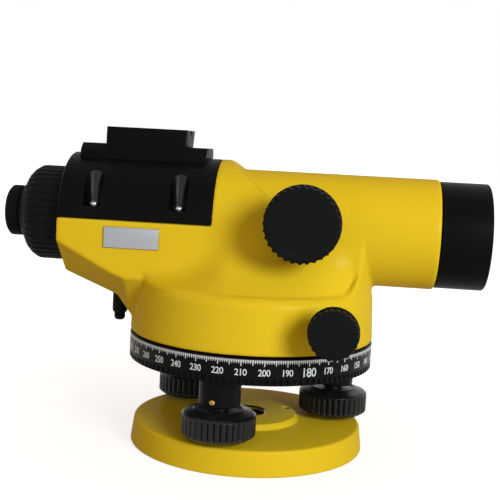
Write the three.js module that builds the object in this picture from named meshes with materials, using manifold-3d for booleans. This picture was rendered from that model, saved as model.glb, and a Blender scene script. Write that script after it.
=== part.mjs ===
// Automatic optical level: foot plate, levelling head, graduated circle, housing with telescope.
// Millimetres, Z up, X towards the objective, Y away from the side with the large focus knob.
import * as THREE from 'three';
import { mergeVertices } from 'three/addons/utils/BufferGeometryUtils.js';
import Module from 'manifold-3d';

const wasm = await Module();
wasm.setup();

// Fits shared by every piece
const gap = 0.3;
const overrun = 1;

// Graduated circle. Its radius also sets the drum above it, the feet and the foot plate.
const circle = {
  radius: 52.5, wall: 2.6, height: 10.9, edge: 0.7, webRise: 5.8, webThickness: 2.6, hubWall: 3.7,
  notches: 120, notchDepth: 0.9, gripHeight: 2.7,
};
const circleInner = circle.radius - circle.wall;

// Levelling screws, their ball ends and cups
const foot = {
  count: 3, inset: 10.73, firstAngle: 17.9,
  ballShare: 0.475, stemRadius: 2.3, stemReach: 3.4,
  neckHole: 3.2, lip: 1.5, cupRadius: 5.4, cupHeight: 2.6,
  knobRadius: 15.1, knobRise: 2.2, knobHeight: 11.4, ribs: 36, ribDepth: 0.7,
  bevel: 2.4, collarRadius: 9.6, bevelEdge: 0.9, spindleRadius: 4, spindleRoom: 2.9,
  bushRadius: 8.5, bushRise: 1.5, bushLength: 11.7, bushShank: 6.5, bushWall: 1.2,
};
const footCircle = circleInner - foot.inset;

// Foot plate with its tripod thread and the recess for the spring plate
const base = {
  rim: 11.53, taper: 1.4, height: 10.4, edge: 1.2,
  bossRoom: 1.57, bossRise: 2.5, threadRadius: 7.94, threadChamfer: 1.2,
  recess: 2.4, recessWall: 4.7, hubRadius: 15.6,
  screwPitchRadius: 19.1, screwAngle: 29, screwHoleRadius: 1.8,
};
const baseRadius = footCircle + base.rim;
const rimRadius = baseRadius - base.taper;
const recessRadius = baseRadius - base.recessWall;
const bossRadius = footCircle - foot.knobRadius - base.bossRoom;
const springPlate = { thickness: 0.9, screwShank: 1.5, screwHead: 3, screwHeadHeight: 0.8, screwInset: 0.9 };
const springScrewTop = base.height - springPlate.screwInset;
const ballRadius = (base.height - base.recess) * foot.ballShare;
const ballHeight = base.recess + ballRadius + gap / 3;
const knobBottom = base.height + foot.knobRise;
const knobTop = knobBottom + foot.knobHeight;
const stemTop = knobBottom + foot.stemReach;
const bushBottom = knobTop + foot.bushRise;

// Levelling head and vertical axis
const head = {
  thickness: 4.5, hubRadius: 24, armWidth: 17, padRadius: 8.4, flangeWidth: 4, flangeHeight: 1.2,
};
const headBottom = bushBottom + foot.bushLength + gap;
const headTop = headBottom + head.thickness;
const footSpindleTop = headBottom - foot.bushWall - foot.spindleRoom;
const circleBottom = headBottom - gap;
const circleTop = circleBottom + circle.height;
const webBottom = circleBottom + circle.webRise;
const webTop = webBottom + circle.webThickness;
const hubBottom = headTop + gap;

// Housing: drum, side bulges, telescope box and barrel
const drum = { clearance: 0.5, height: 22.4, edge: 2.2, wall: 5.5, roof: 3, sightRise: 24.6 };
const drumBottom = circleTop + drum.clearance;
const drumTop = drumBottom + drum.height;
const cavityRadius = circle.radius - drum.wall;
const cavityTop = drumTop - drum.roof;
const sightline = drumTop + drum.sightRise;
const neck = { step: 1.5, half: 25 };
const neckRadius = circle.radius - neck.step;
const bulge = { ledge: 4, bottomDrop: 1.4, topDrop: 3.6 };
const box = {
  rear: -81, half: 27, seatDrop: 0.4, front: 20, underHalf: 11,
  rearFacetDrop: 9.3, rearLowDrop: 23.8, kneeReach: 5.3, kneeFacetDrop: 21.4, kneeLowDrop: 33.1,
  drumInset: 0.5, drumFacetDrop: 23.6, drumLowDrop: 40.9,
  bayWall: 8.4, bayFloorDrop: 15.6, bayRear: -76, bayFront: -18,
};
const boxSeat = sightline - box.seatDrop;
const bayHalf = box.half - box.bayWall;
const bayFloor = sightline - box.bayFloorDrop;
const crown = { rear: -15.2, front: 46, peak: -12.4, footX: 21.8, frontDrop: 4.1, lowDrop: 7.6 };
const barrel = { radius: 23.35, front: 76.5, wall: 3.85, boreRear: -20, edge: 0.8 };
const barrelBore = barrel.radius - barrel.wall;

// Vertical axis, and the endless tangent drive round it
const drive = {
  inset: 11.5, drop: 7, wormPitchRadius: 5, teeth: 72, tipShare: 0.13, rootShare: 0.24,
  wheelThickness: 5, wormTurns: 4, shaftRadius: 2.5, bushRadius: 5.4, bushRoom: 0.6, bushLength: 13.2,
};
const driveX = cavityRadius - drive.inset;
const driveHeight = cavityTop - drive.drop;
const wheelPitchRadius = driveX - drive.wormPitchRadius;
const toothPitch = 2 * Math.PI * wheelPitchRadius / drive.teeth;
const wormTooth = { tip: 0.85, root: 1.2 };
const axis = {
  sleeveShare: 0.459, boreShare: 0.6643, sleeveRoom: 2.1, stepWidth: 1.6, stepHeight: 1, spindleRise: 2.5,
  tipShare: 0.8065, flangeWidth: 7.7, flangeThickness: 1.6,
};
const sleeveRadius = wheelPitchRadius * axis.sleeveShare;
const axisBore = sleeveRadius * axis.boreShare;
const spindleTip = axisBore * axis.tipShare;
const sleeveTop = cavityTop - axis.sleeveRoom;
const stepTop = driveHeight - drive.wheelThickness / 2 - gap;
const spindleBottom = headBottom + axis.spindleRise;
const tangent = {
  length: 5.2, faceRadius: 9.6, ribRadius: 10.3, flangeRadius: 10.6, flangeThickness: 1.3, edge: 0.7, ribs: 24,
  ribDepth: 0.5, shankRadius: 6.2, shankRoom: 0.4, shankLength: 19, shaftReach: 11,
};
const wormBushInner = Math.sqrt(cavityRadius ** 2 - driveX ** 2) + drive.bushRoom;
const wormBushOuter = wormBushInner + drive.bushLength;
const shankEnd = wormBushOuter + tangent.shankRoom;
const wormShaftEnd = shankEnd + tangent.shaftReach;
const tangentFace = shankEnd + tangent.shankLength;

// Focusing knob, pinion and carriage
const focus = {
  x: 21, rise: 4.4, reach: 20.8, knobLength: 8, knobRadius: 15.1, lobes: 32, lobeDepth: 0.8, edge: 1.2,
  flangeRadius: 15.4, flangeThickness: 1.6, hubRadius: 9.5, shaftRadius: 2.2, shaftInset: 6,
  bossRadius: 10.6, bossRise: 2.2, bushRadius: 6.4, pinionPitchRadius: 4.2, pinionTeeth: 14,
  tip: 0.8, root: 1.1, pinionInset: 0.8, pinionWidth: 3.8,
};
const focusHeight = sightline + focus.rise;
const bossFace = box.half + focus.bossRise;
const focusFace = bossFace + focus.reach;
const focusShaftEnd = focusFace - focus.shaftInset;
const pinionOuterFace = barrelBore - focus.pinionInset;
const pinionInnerFace = pinionOuterFace - focus.pinionWidth;
const carriage = {
  rear: 4, front: 38, runClearance: 0.4, outerInset: 5.5, wall: 2, ringWidth: 3.5, rackDrop: 4,
  rackInset: 1.5, rackWidth: 4.8, lensRear: 8, lensFront: 12, hollow: 0.9,
};
const carriageRing = barrelBore - carriage.runClearance;
const carriageOuter = barrelBore - carriage.outerInset;
const carriageInner = carriageOuter - carriage.wall;
const rackLow = sightline - carriage.rackDrop;
const rackOuter = barrelBore - carriage.rackInset;
const rackInner = rackOuter - carriage.rackWidth;

// Objective end
const hood = { joint: 0.4, length: 20.3, step: 0.75, wall: 2, spigotLength: 6.9, spigotWall: 1.6, edge: 0.6 };
const hoodRear = barrel.front + hood.joint;
const hoodFront = hoodRear + hood.length;
const hoodOuter = barrel.radius - hood.step;
const hoodInner = hoodOuter - hood.wall;
const spigotRear = hoodRear - hood.spigotLength;
const spigotInner = barrelBore - gap - hood.spigotWall;
const objective = {
  joint: 0.4, length: 14.6, wall: 2.8, lensRoom: 0.5, lensInset: 4.6, lensThickness: 7, bow: 1.8, lip: 1.6,
};
const objectiveFront = spigotRear - objective.joint;
const objectiveRear = objectiveFront - objective.length;
const cellInner = barrelBore - gap - objective.wall;
const objectiveLensFront = objectiveFront - objective.lensInset;
const objectiveLensRear = objectiveLensFront - objective.lensThickness;

// Cover over the compensator bay, flush with the box, with its rail and sight
const cover = {
  wall: 2.4, edge: 1, pocketRadius: 3.65, pocketWall: 1.6, pocketRise: 5.4,
  pocketRear: -71.3, pocketFront: -30.8, pocketInset: 5.25,
  screwHead: 2.2, screwHeadHeight: 1.6, screwShank: 1.2, screwReach: 6.2, holeRadius: 1.5,
};
const coverFront = crown.rear - gap;
const pocketFloor = sightline + cover.pocketRise;
const pocketY = box.half - cover.pocketInset;
const coverScrewLow = boxSeat - cover.screwReach;
const rail = {
  rear: -74, front: -22, drop: 6.6, rise: 4.4, lowHalf: 16.5, midHalf: 14.6, topHalf: 13.2,
  bevel: 1.6, slant: 1.6,
};
const railLow = sightline + box.half - rail.drop;
const railTop = sightline + box.half + rail.rise;
const sight = { rear: -66, front: -31, height: 7.2, half: 9, grooveHalf: 1.8, grooveDepth: 2.2, edge: 0.6 };
const sightTop = railTop + sight.height;
const plate = { rear: -60.6, front: -37.7, bottomDrop: 11, topDrop: 2.4, thickness: 0.7 };

// Eyepiece end
const eye = {
  sleeveRadius: 12, sleeveWall: 1.1, sleeveJoint: 0.4, sleeveInset: 1.9, flangeRadius: 19, flangeThickness: 1,
  ringJoint: 0.4, ringLength: 11.2, domeLength: 8.1, ringRadius: 20.5, tipWall: 0.7,
  domeShares: [[0, 1], [0.33, 0.9], [0.58, 0.66], [0.66, 0.42], [0.86, 0.14], [1, 0]],
  flutes: 40, fluteDepth: 0.6,
  cellJoint: 0.5, cellWall: 1.8, cellLip: 1, cellInset: 1.3, cellReach: 1.2,
  lensInset: 9, lensThickness: 4, lensBow: 0.9, cupLength: 5.7, cupRadius: 11.2, cupInner: 7.2, cupEdge: 1.4,
};
const eyeBore = eye.sleeveRadius + gap;
const sleeveInner = eye.sleeveRadius - eye.sleeveWall;
const flangeFront = box.rear - gap;
const flangeRear = flangeFront - eye.flangeThickness;
const ringFront = flangeRear - eye.ringJoint;
const ringRear = ringFront - eye.ringLength;
const ringTip = ringRear - eye.domeLength;
const sleeveRear = ringRear + eye.sleeveInset;
const tipRadius = sleeveInner + eye.tipWall;
const eyeCellRadius = sleeveInner - eye.cellJoint;
const eyeCellInner = eyeCellRadius - eye.cellWall;
const eyeCellFront = ringFront - eye.cellInset;
const eyeCellRear = ringTip - eye.cellReach;
const eyeLensFront = eyeCellFront - eye.lensInset;
const eyeLensRear = eyeLensFront - eye.lensThickness;
const cupRear = eyeCellRear - eye.cupLength;
const reticle = { length: 2.7, room: 0.7, inner: 7, glassThickness: 1 };
const reticleRear = box.bayRear + gap;

// Compensator in its bay
const compensator = {
  rear: -64, front: -26, sideRoom: 1.6, floorThickness: 2, cheek: 2, cheekRise: 32, cheekHalf: 6,
  x: -46, pivotRise: 29, pinRadius: 1, pendulumRoom: 6, strap: 2, strapHalf: 4, barHalfHeight: 3,
  prismRoom: 3, prismRise: 23, prismReach: 7, weightRear: -60, weightFront: -40,
  weightRise: 3.4, weightHeight: 3, relayRear: -36, relayFront: -28, relayRise: 24,
};
const frameHalf = bayHalf - compensator.sideRoom;
const pendulumHalf = frameHalf - compensator.pendulumRoom;
const prismHalf = pendulumHalf - compensator.prismRoom;
const pivotHeight = bayFloor + compensator.pivotRise;
const weightLow = bayFloor + compensator.weightRise;
const weightHigh = weightLow + compensator.weightHeight;
const check = {
  reach: 6.3, guideRadius: 3.3, guideDrop: 14, guideLength: 12.8, stemRadius: 2.4, stemReach: 3.4,
  springRoom: 4.2, rodRadius: 0.9, rodRise: 0.7, holeRadius: 3.6, rodHole: 1.6,
  springRadius: 1.75, springWire: 0.35, springTurns: 4,
  guideBore: 2.7, floorHole: 2.2, edge: 0.4,
};
const checkX = -circle.radius - check.reach;
const guideTop = bayFloor - check.guideDrop;
const guideBottom = guideTop - check.guideLength;
const buttonBottom = guideBottom - check.stemReach;
const buttonStemTop = guideTop - check.springRoom;

// Circular vial on the far side
const vial = {
  inset: 2.25, angle: 121.16, radius: 9.4, height: 7.6, wall: 1.5, glassRoom: 0.5, floor: 2, dome: 0.8,
};
const vialGlass = vial.radius - vial.wall - vial.glassRoom;

// The frame's origin is below the middle of the whole length
const middle = (hoodFront + cupRear) / 2;

// Finishes
const finish = {
  yellow: new THREE.MeshStandardMaterial({ color: '#d3b627', roughness: 0.42, metalness: 0.1 }),
  black: new THREE.MeshStandardMaterial({ color: '#1b1c1e', roughness: 0.55, metalness: 0 }),
  rubber: new THREE.MeshStandardMaterial({ color: '#141416', roughness: 0.75, metalness: 0 }),
  steel: new THREE.MeshStandardMaterial({ color: '#b9bcc0', roughness: 0.35, metalness: 1 }),
  brass: new THREE.MeshStandardMaterial({ color: '#b8923c', roughness: 0.35, metalness: 1 }),
  alloy: new THREE.MeshStandardMaterial({ color: '#a0a3a4', roughness: 0.5, metalness: 0.8 }),
  glass: new THREE.MeshStandardMaterial({ color: '#cfe2e4', roughness: 0.05, metalness: 0 }),
};

// Joining and cutting of closed shapes
function solidOf(geometry) {
  const bare = geometry.index ? geometry.toNonIndexed() : geometry.clone();
  bare.deleteAttribute('normal');
  bare.deleteAttribute('uv');
  const merged = mergeVertices(bare, 1e-4);
  const points = merged.attributes.position.array;
  const corners = Array.from(merged.index.array);
  const kept = [];
  for (let i = 0; i < corners.length; i += 3) {
    const [a, b, c] = corners.slice(i, i + 3);
    if (a !== b && b !== c && c !== a) kept.push(a, b, c);
  }
  if (signedVolume(points, kept) < 0) {
    for (let i = 0; i < kept.length; i += 3) {
      [kept[i], kept[i + 1]] = [kept[i + 1], kept[i]];
    }
  }
  return new wasm.Manifold(new wasm.Mesh({
    numProp: 3, vertProperties: Float32Array.from(points), triVerts: Uint32Array.from(kept),
  }));
}

function signedVolume(points, corners) {
  const [a, b, c] = [new THREE.Vector3(), new THREE.Vector3(), new THREE.Vector3()];
  let volume = 0;
  for (let i = 0; i < corners.length; i += 3) {
    a.fromArray(points, corners[i] * 3);
    b.fromArray(points, corners[i + 1] * 3);
    c.fromArray(points, corners[i + 2] * 3);
    volume += a.dot(b.cross(c)) / 6;
  }
  return volume;
}

function geometryOf(solid) {
  const mesh = solid.getMesh();
  const geometry = new THREE.BufferGeometry();
  geometry.setAttribute('position', new THREE.BufferAttribute(Float32Array.from(mesh.vertProperties), 3));
  geometry.setIndex(new THREE.BufferAttribute(Uint32Array.from(mesh.triVerts), 1));
  return geometry;
}

function join(...shapes) {
  return geometryOf(shapes.map(solidOf).reduce((whole, part) => whole.add(part)));
}

function cut(body, ...tools) {
  return geometryOf(tools.map(solidOf).reduce((whole, tool) => whole.subtract(tool), solidOf(body)));
}

function common(first, second) {
  return geometryOf(solidOf(first).intersect(solidOf(second)));
}

// Basic shapes
// A profile of [radius, height] points, turned about Z. One that leaves the axis closes on itself.
function turned(profile, sides = 22) {
  const points = profile.map(([r, z]) => new THREE.Vector2(r, z));
  if (profile[0][0] > 0 || profile.at(-1)[0] > 0) points.push(points[0].clone());
  return new THREE.LatheGeometry(points, sides).rotateX(Math.PI / 2);
}

function rod(radius, low, high, sides = 18) {
  return turned([[0, low], [radius, low], [radius, high], [0, high]], sides);
}

function tube(outer, inner, low, high, sides = 22) {
  return turned([[inner, low], [outer, low], [outer, high], [inner, high]], sides);
}

// An outline of [x, y] points, raised along Z between two heights
function slab(outline, low, high, holes = []) {
  const shape = new THREE.Shape(outline.map(([x, y]) => new THREE.Vector2(x, y)));
  shape.holes = holes.map((hole) => new THREE.Path(hole.map(([x, y]) => new THREE.Vector2(x, y))));
  const geometry = new THREE.ExtrudeGeometry(shape, { depth: high - low, bevelEnabled: false });
  return geometry.translate(0, 0, low);
}

function block(rear, front, near, far, low, high) {
  return slab([[rear, near], [front, near], [front, far], [rear, far]], low, high);
}

// Z to X, for pieces on the sightline
function alongX(geometry) {
  return geometry.rotateY(Math.PI / 2);
}

// Z to Y, for pieces on the cross shafts
function alongY(geometry) {
  return geometry.rotateX(-Math.PI / 2);
}

// An XZ outline, spread along Y between two places
function sideSlab(outline, near, far) {
  return slab(outline.map(([x, z]) => [x, z]), -far, -near).rotateX(Math.PI / 2);
}

function polar(radius, angle) {
  return [radius * Math.cos(angle), radius * Math.sin(angle)];
}

// A ring of ribs with a groove between each pair
function ribbed(radius, depth, count) {
  const radii = [radius, radius - depth];
  return Array.from({ length: 2 * count }, (_, i) => polar(radii[i % 2], Math.PI * i / count));
}

// A closed skin over rings of equal count, capped at both ends
function loft(rings) {
  const positions = rings.flat(2);
  const count = rings[0].length;
  const faces = [];
  for (let r = 0; r + 1 < rings.length; r += 1) {
    for (let i = 0; i < count; i += 1) {
      const j = (i + 1) % count;
      const [a, b] = [r * count + i, r * count + j];
      faces.push(a, b, b + count, a, b + count, a + count);
    }
  }
  const last = (rings.length - 1) * count;
  const [first, end] = [rings.length * count, rings.length * count + 1];
  for (let i = 0; i < count; i += 1) {
    const j = (i + 1) % count;
    faces.push(first, j, i, end, last + i, last + j);
  }
  for (const ring of [rings[0], rings.at(-1)]) {
    for (let k = 0; k < 3; k += 1) {
      positions.push(ring.reduce((sum, point) => sum + point[k], 0) / count);
    }
  }
  const geometry = new THREE.BufferGeometry();
  geometry.setAttribute('position', new THREE.Float32BufferAttribute(positions, 3));
  geometry.setIndex(faces);
  return geometry;
}

// Foot plate: boss, tripod thread, ball seats, recess below for the spring plate
function footAngles() {
  const angles = Array.from({ length: foot.count }, (_, k) => foot.firstAngle - k * 360 / foot.count);
  return angles.map((angle) => angle * Math.PI / 180);
}

function basePlate() {
  const top = base.height + base.bossRise;
  const body = turned([
    [base.threadRadius + base.threadChamfer, 0], [base.hubRadius, 0], [base.hubRadius, base.recess],
    [recessRadius, base.recess], [recessRadius, 0], [baseRadius, 0],
    [rimRadius + base.edge / 3, base.height - base.edge], [rimRadius, base.height - base.edge / 3],
    [rimRadius - base.edge, base.height], [bossRadius + base.edge / 2, base.height],
    [bossRadius, base.height + base.edge / 2], [bossRadius - base.edge / 2, top - base.edge / 3],
    [bossRadius - base.edge, top], [base.threadRadius + base.threadChamfer, top],
    [base.threadRadius, top - base.threadChamfer], [base.threadRadius, base.threadChamfer],
  ], 40);
  const lipBottom = base.height - foot.lip;
  const cupRoom = base.recess + foot.cupHeight + 2 * gap;
  const tools = [];
  for (const angle of footAngles()) {
    const [x, y] = polar(footCircle, angle);
    tools.push(turned([
      [0, base.recess - overrun], [foot.cupRadius + 2 * gap, base.recess - overrun],
      [foot.cupRadius + 2 * gap, cupRoom], [ballRadius + 2 * gap, cupRoom],
      [ballRadius + 2 * gap, lipBottom], [foot.neckHole, lipBottom],
      [foot.neckHole, base.height + overrun], [0, base.height + overrun],
    ], 10).translate(x, y, 0));
  }
  for (let k = 0; k < foot.count; k += 1) {
    const [x, y] = polar(base.screwPitchRadius, (base.screwAngle + k * 360 / foot.count) * Math.PI / 180);
    tools.push(rod(base.screwHoleRadius, -overrun, top + overrun, 8).translate(x, y, 0));
  }
  return cut(body, ...tools);
}

function springPlateTop() {
  return base.recess - gap;
}

function springPlatePiece() {
  const top = springPlateTop();
  const low = top - springPlate.thickness;
  const body = tube(recessRadius - gap, base.hubRadius + gap, low, top, 20);
  const tools = [];
  for (let k = 0; k < foot.count; k += 1) {
    const [x, y] = polar(base.screwPitchRadius, (base.screwAngle + k * 360 / foot.count) * Math.PI / 180);
    tools.push(rod(base.screwHoleRadius, low - overrun, top + overrun, 8).translate(x, y, 0));
  }
  return cut(body, ...tools);
}

function springPlateScrew() {
  const seat = springPlateTop() - springPlate.thickness - gap;
  const low = seat - springPlate.screwHeadHeight;
  return turned([
    [0, low], [springPlate.screwHead, low], [springPlate.screwHead, seat],
    [springPlate.screwShank, seat], [springPlate.screwShank, springScrewTop], [0, springScrewTop],
  ], 8);
}

// Cup, ball end and knob of a levelling screw, about its own axis
function arcPoints(radius, from, to, steps, height) {
  return Array.from({ length: steps + 1 }, (_, i) => {
    const angle = from + (to - from) * i / steps;
    return [radius * Math.cos(angle), height + radius * Math.sin(angle)];
  });
}

function ballCup() {
  const low = base.recess;
  const high = low + foot.cupHeight;
  const seat = ballRadius + gap;
  const from = Math.asin((high - ballHeight) / seat);
  const to = Math.asin((low - ballHeight) / seat);
  const hollow = arcPoints(seat, from, to, 2, ballHeight);
  return turned([[foot.cupRadius, low], [foot.cupRadius, high], ...hollow], 10);
}

function footBall() {
  const neck = Math.acos(foot.stemRadius / ballRadius);
  const arc = arcPoints(ballRadius, -Math.PI / 2, neck, 5, ballHeight);
  arc[0][0] = 0;
  return turned([...arc, [foot.stemRadius, stemTop], [0, stemTop]], 8);
}

function footScrew() {
  const grip = ribbed(foot.knobRadius, foot.ribDepth, foot.ribs);
  const crown = knobTop - foot.bevel;
  const ribs = slab(grip, knobBottom + foot.bevelEdge, crown);
  const root = foot.knobRadius - foot.ribDepth;
  const core = turned([
    [0, knobBottom], [root - foot.bevelEdge, knobBottom], [root - gap, knobBottom + foot.bevelEdge],
    [root - gap, crown + foot.bevelEdge / 3],
    [foot.collarRadius + foot.bevelEdge, knobTop - foot.bevelEdge / 2],
    [foot.collarRadius, knobTop], [foot.spindleRadius, knobTop],
    [foot.spindleRadius, footSpindleTop], [0, footSpindleTop],
  ], 14);
  const socket = rod(foot.stemRadius + gap, knobBottom - overrun, stemTop + gap, 8);
  return cut(join(core, ribs), socket);
}

function footBush() {
  const shoulder = headBottom - gap;
  const top = headTop - gap;
  const bore = foot.spindleRadius + gap;
  const lid = headBottom - foot.bushWall;
  return turned([
    [bore, bushBottom], [foot.bushRadius - foot.bevelEdge, bushBottom],
    [foot.bushRadius, bushBottom + foot.bevelEdge], [foot.bushRadius, shoulder],
    [foot.bushShank, shoulder], [foot.bushShank, top], [0, top], [0, lid], [bore, lid],
  ], 10);
}

// Levelling head with three arms, and the sleeve that stands on it
function trivet() {
  const low = headBottom;
  const top = headTop;
  let body = rod(head.hubRadius, low, top, 30);
  const holes = [];
  for (const angle of footAngles()) {
    const arm = block(0, footCircle, -head.armWidth / 2, head.armWidth / 2, low, top).rotateZ(angle);
    const [x, y] = polar(footCircle, angle);
    body = join(body, arm, rod(head.padRadius, low, top, 18).translate(x, y, 0));
    holes.push(rod(foot.bushShank + gap, low - overrun, top + overrun, 14).translate(x, y, 0));
  }
  return cut(body, rod(sleeveRadius + gap, low - overrun, top + overrun, 24), ...holes);
}

function axisSleeve() {
  const flangeTop = headBottom - gap;
  const flangeLow = flangeTop - head.flangeHeight;
  const flange = sleeveRadius + head.flangeWidth;
  const step = sleeveRadius + axis.stepWidth;
  return turned([
    [0, flangeLow], [flange, flangeLow], [flange, flangeTop],
    [sleeveRadius, flangeTop], [sleeveRadius, stepTop - axis.stepHeight],
    [step, stepTop - axis.stepHeight], [step, stepTop], [sleeveRadius, stepTop],
    [sleeveRadius, sleeveTop], [axisBore, sleeveTop],
    [spindleTip + gap, spindleBottom - gap], [0, spindleBottom - gap],
  ], 18);
}

function spindle() {
  const top = cavityTop - gap;
  const flangeLow = top - axis.flangeThickness;
  const flange = axisBore + axis.flangeWidth;
  return turned([
    [0, spindleBottom], [spindleTip, spindleBottom],
    [axisBore - gap, sleeveTop], [axisBore - gap, flangeLow],
    [flange, flangeLow], [flange, top], [0, top],
  ], 18);
}

// Graduated circle: a ring with a notched grip below and a web in to its hub
function horizontalCircle() {
  const gripTop = circleBottom + circle.gripHeight;
  const hub = sleeveRadius + gap;
  const ring = turned([
    [circleInner, gripTop - gap], [circle.radius, gripTop - gap], [circle.radius, circleTop - circle.edge],
    [circle.radius - circle.edge, circleTop],
    [circleInner, circleTop], [circleInner, webTop], [hub, webTop], [hub, hubBottom],
    [hub + circle.hubWall, hubBottom], [hub + circle.hubWall, webBottom], [circleInner, webBottom],
  ], 48);
  const crest = ribbed(circle.radius - gap, circle.notchDepth - gap, circle.notches);
  const inside = Array.from({ length: 40 }, (_, i) => polar(circleInner + gap, 2 * Math.PI * i / 40));
  return join(ring, slab(crest, circleBottom, gripTop, [inside]));
}

// Housing: one yellow casting
function boxRings() {
  const stations = [
    [box.rear, box.rearFacetDrop, box.rearLowDrop],
    [-circle.radius - box.kneeReach, box.kneeFacetDrop, box.kneeLowDrop],
    [box.drumInset - circle.radius, box.drumFacetDrop, box.drumLowDrop],
    [box.front, box.drumFacetDrop, box.drumLowDrop],
  ];
  return stations.map(([x, facetDrop, lowDrop]) => {
    const [facet, low] = [sightline - facetDrop, sightline - lowDrop];
    return [
      [x, box.half, boxSeat], [x, box.half, facet], [x, box.underHalf, low],
      [x, -box.underHalf, low], [x, -box.half, facet], [x, -box.half, boxSeat],
    ];
  });
}

// The side bulges run from a round foot on the drum, inside its ledge, up to the sides of the telescope box
function bulgeRings() {
  const [bottom, top] = [drumTop - bulge.bottomDrop, sightline - bulge.topDrop];
  const foot = neckRadius - bulge.ledge;
  const reach = Math.sqrt(neckRadius ** 2 - box.half ** 2) - gap;
  const stations = Array.from({ length: 25 }, (_, i) => -reach * Math.cos(Math.PI * i / 24));
  return Array.from({ length: 8 }, (_, r) => {
    const z = bottom + (top - bottom) * r / 7;
    const rise = Math.max(0, (z - drumTop) / (top - drumTop));
    const flare = (1 + Math.cos(Math.PI * rise)) / 2;
    const near = stations.map((x) => {
      const swell = Math.max(0, Math.sqrt(foot ** 2 - x ** 2) - box.half) * flare;
      return [x, -box.half - swell, z];
    });
    return [...near, ...near.map(([x, y]) => [x, -y, z]).reverse()];
  });
}

function onSightline(geometry) {
  return alongX(geometry).translate(0, 0, sightline);
}

function crownPiece() {
  const peak = sightline + box.half;
  const crownLow = sightline - crown.lowDrop;
  const side = sideSlab([
    [crown.rear, crownLow], [crown.front, crownLow], [crown.front, sightline - crown.frontDrop],
    [crown.footX, sightline], [crown.peak, peak + gap], [crown.rear, peak + gap],
  ], -box.half - overrun, box.half + overrun);
  const straight = block(crown.rear, crown.front, -box.half, box.half, crownLow, sightline);
  const round = join(onSightline(rod(box.half, crown.rear, crown.front, 36)), straight);
  return common(common(round, side), rod(neckRadius, crownLow - overrun, peak + overrun, 54));
}

function barrelBody() {
  return onSightline(turned([
    [0, crown.rear], [barrel.radius, crown.rear], [barrel.radius, barrel.front - barrel.edge],
    [barrel.radius - barrel.edge, barrel.front], [0, barrel.front],
  ], 40));
}

function drumBody() {
  return turned([
    [0, drumBottom], [circle.radius, drumBottom], [circle.radius, drumTop - drum.edge],
    [circle.radius - drum.edge / 3, drumTop - drum.edge / 3], [circle.radius - drum.edge, drumTop],
    [0, drumTop],
  ], 40);
}

function crossBore(radius, from, to, x, z, sides = 16) {
  return alongY(rod(radius, from, to, sides)).translate(x, 0, z);
}

// The flat on the near side that the nameplate lies against
function plateSeat() {
  return block(
    plate.rear - gap, plate.front + gap, -neckRadius, -box.half,
    sightline - plate.bottomDrop - gap, sightline - plate.topDrop + gap,
  );
}

function housingPiece() {
  const neckLow = drumTop - bulge.bottomDrop;
  const neckBlock = block(0, neckRadius, -neck.half, neck.half, neckLow, sightline);
  const neckPiece = common(rod(neckRadius, neckLow, sightline, 54), neckBlock);
  const boss = crossBore(focus.bossRadius, -bossFace, -barrelBore, focus.x, focusHeight, 30);
  const bulges = loft(bulgeRings());
  const body = join(drumBody(), bulges, loft(boxRings()), crownPiece(), barrelBody(), neckPiece, boss);
  const bushHole = drive.bushRadius + gap;
  const focusHole = focus.bushRadius + gap;
  const screwHoles = coverScrewPlaces().map(([x, y]) => (
    rod(cover.holeRadius, coverScrewLow - overrun, boxSeat + overrun, 8).translate(x, y, 0)));
  return cut(
    body,
    rod(cavityRadius, drumBottom - overrun, cavityTop, 36),
    onSightline(rod(barrelBore, barrel.boreRear, barrel.front + overrun, 30)),
    block(box.bayRear, box.bayFront, -bayHalf, bayHalf, bayFloor, boxSeat + overrun),
    onSightline(rod(eyeBore, box.rear - overrun, box.bayRear + overrun, 20)),
    crossBore(bushHole, -circle.radius, circle.radius, driveX, driveHeight),
    crossBore(focusHole, -bossFace - overrun, -pinionInnerFace + gap, focus.x, focusHeight),
    rod(check.holeRadius, sightline - box.drumLowDrop - overrun, guideTop + gap, 14).translate(checkX, 0, 0),
    rod(check.rodHole, guideTop, bayFloor + overrun, 12).translate(checkX, 0, 0),
    rod(vial.radius + gap, drumTop, drumTop + 3 * vial.height, 24).translate(...vialPlace(), 0),
    plateSeat(),
    ...screwHoles,
  );
}

// Endless tangent drive: worm wheel, worm, bushes and knobs
function toothed(pitchRadius, teeth, tip, root, turn = 0) {
  const step = 2 * Math.PI / teeth;
  const outline = [];
  for (let i = 0; i < teeth; i += 1) {
    const middleAngle = (i + 1 / 2) * step + turn;
    outline.push(polar(pitchRadius - root, middleAngle - drive.rootShare * step));
    outline.push(polar(pitchRadius + tip, middleAngle - drive.tipShare * step));
    outline.push(polar(pitchRadius + tip, middleAngle + drive.tipShare * step));
    outline.push(polar(pitchRadius - root, middleAngle + drive.rootShare * step));
  }
  return outline;
}

function wormWheel() {
  const low = driveHeight - drive.wheelThickness / 2;
  const high = driveHeight + drive.wheelThickness / 2;
  const lead = toothPitch / (2 * Math.PI * drive.wormPitchRadius);
  const rings = [low, high].map((z) => {
    const turn = (z - driveHeight) * lead / wheelPitchRadius;
    const outline = toothed(wheelPitchRadius, drive.teeth, wormTooth.tip, wormTooth.root, turn);
    return outline.map(([x, y]) => [x, y, z]);
  });
  return cut(loft(rings), rod(sleeveRadius + gap, low - overrun, high + overrun, 24));
}

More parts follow.
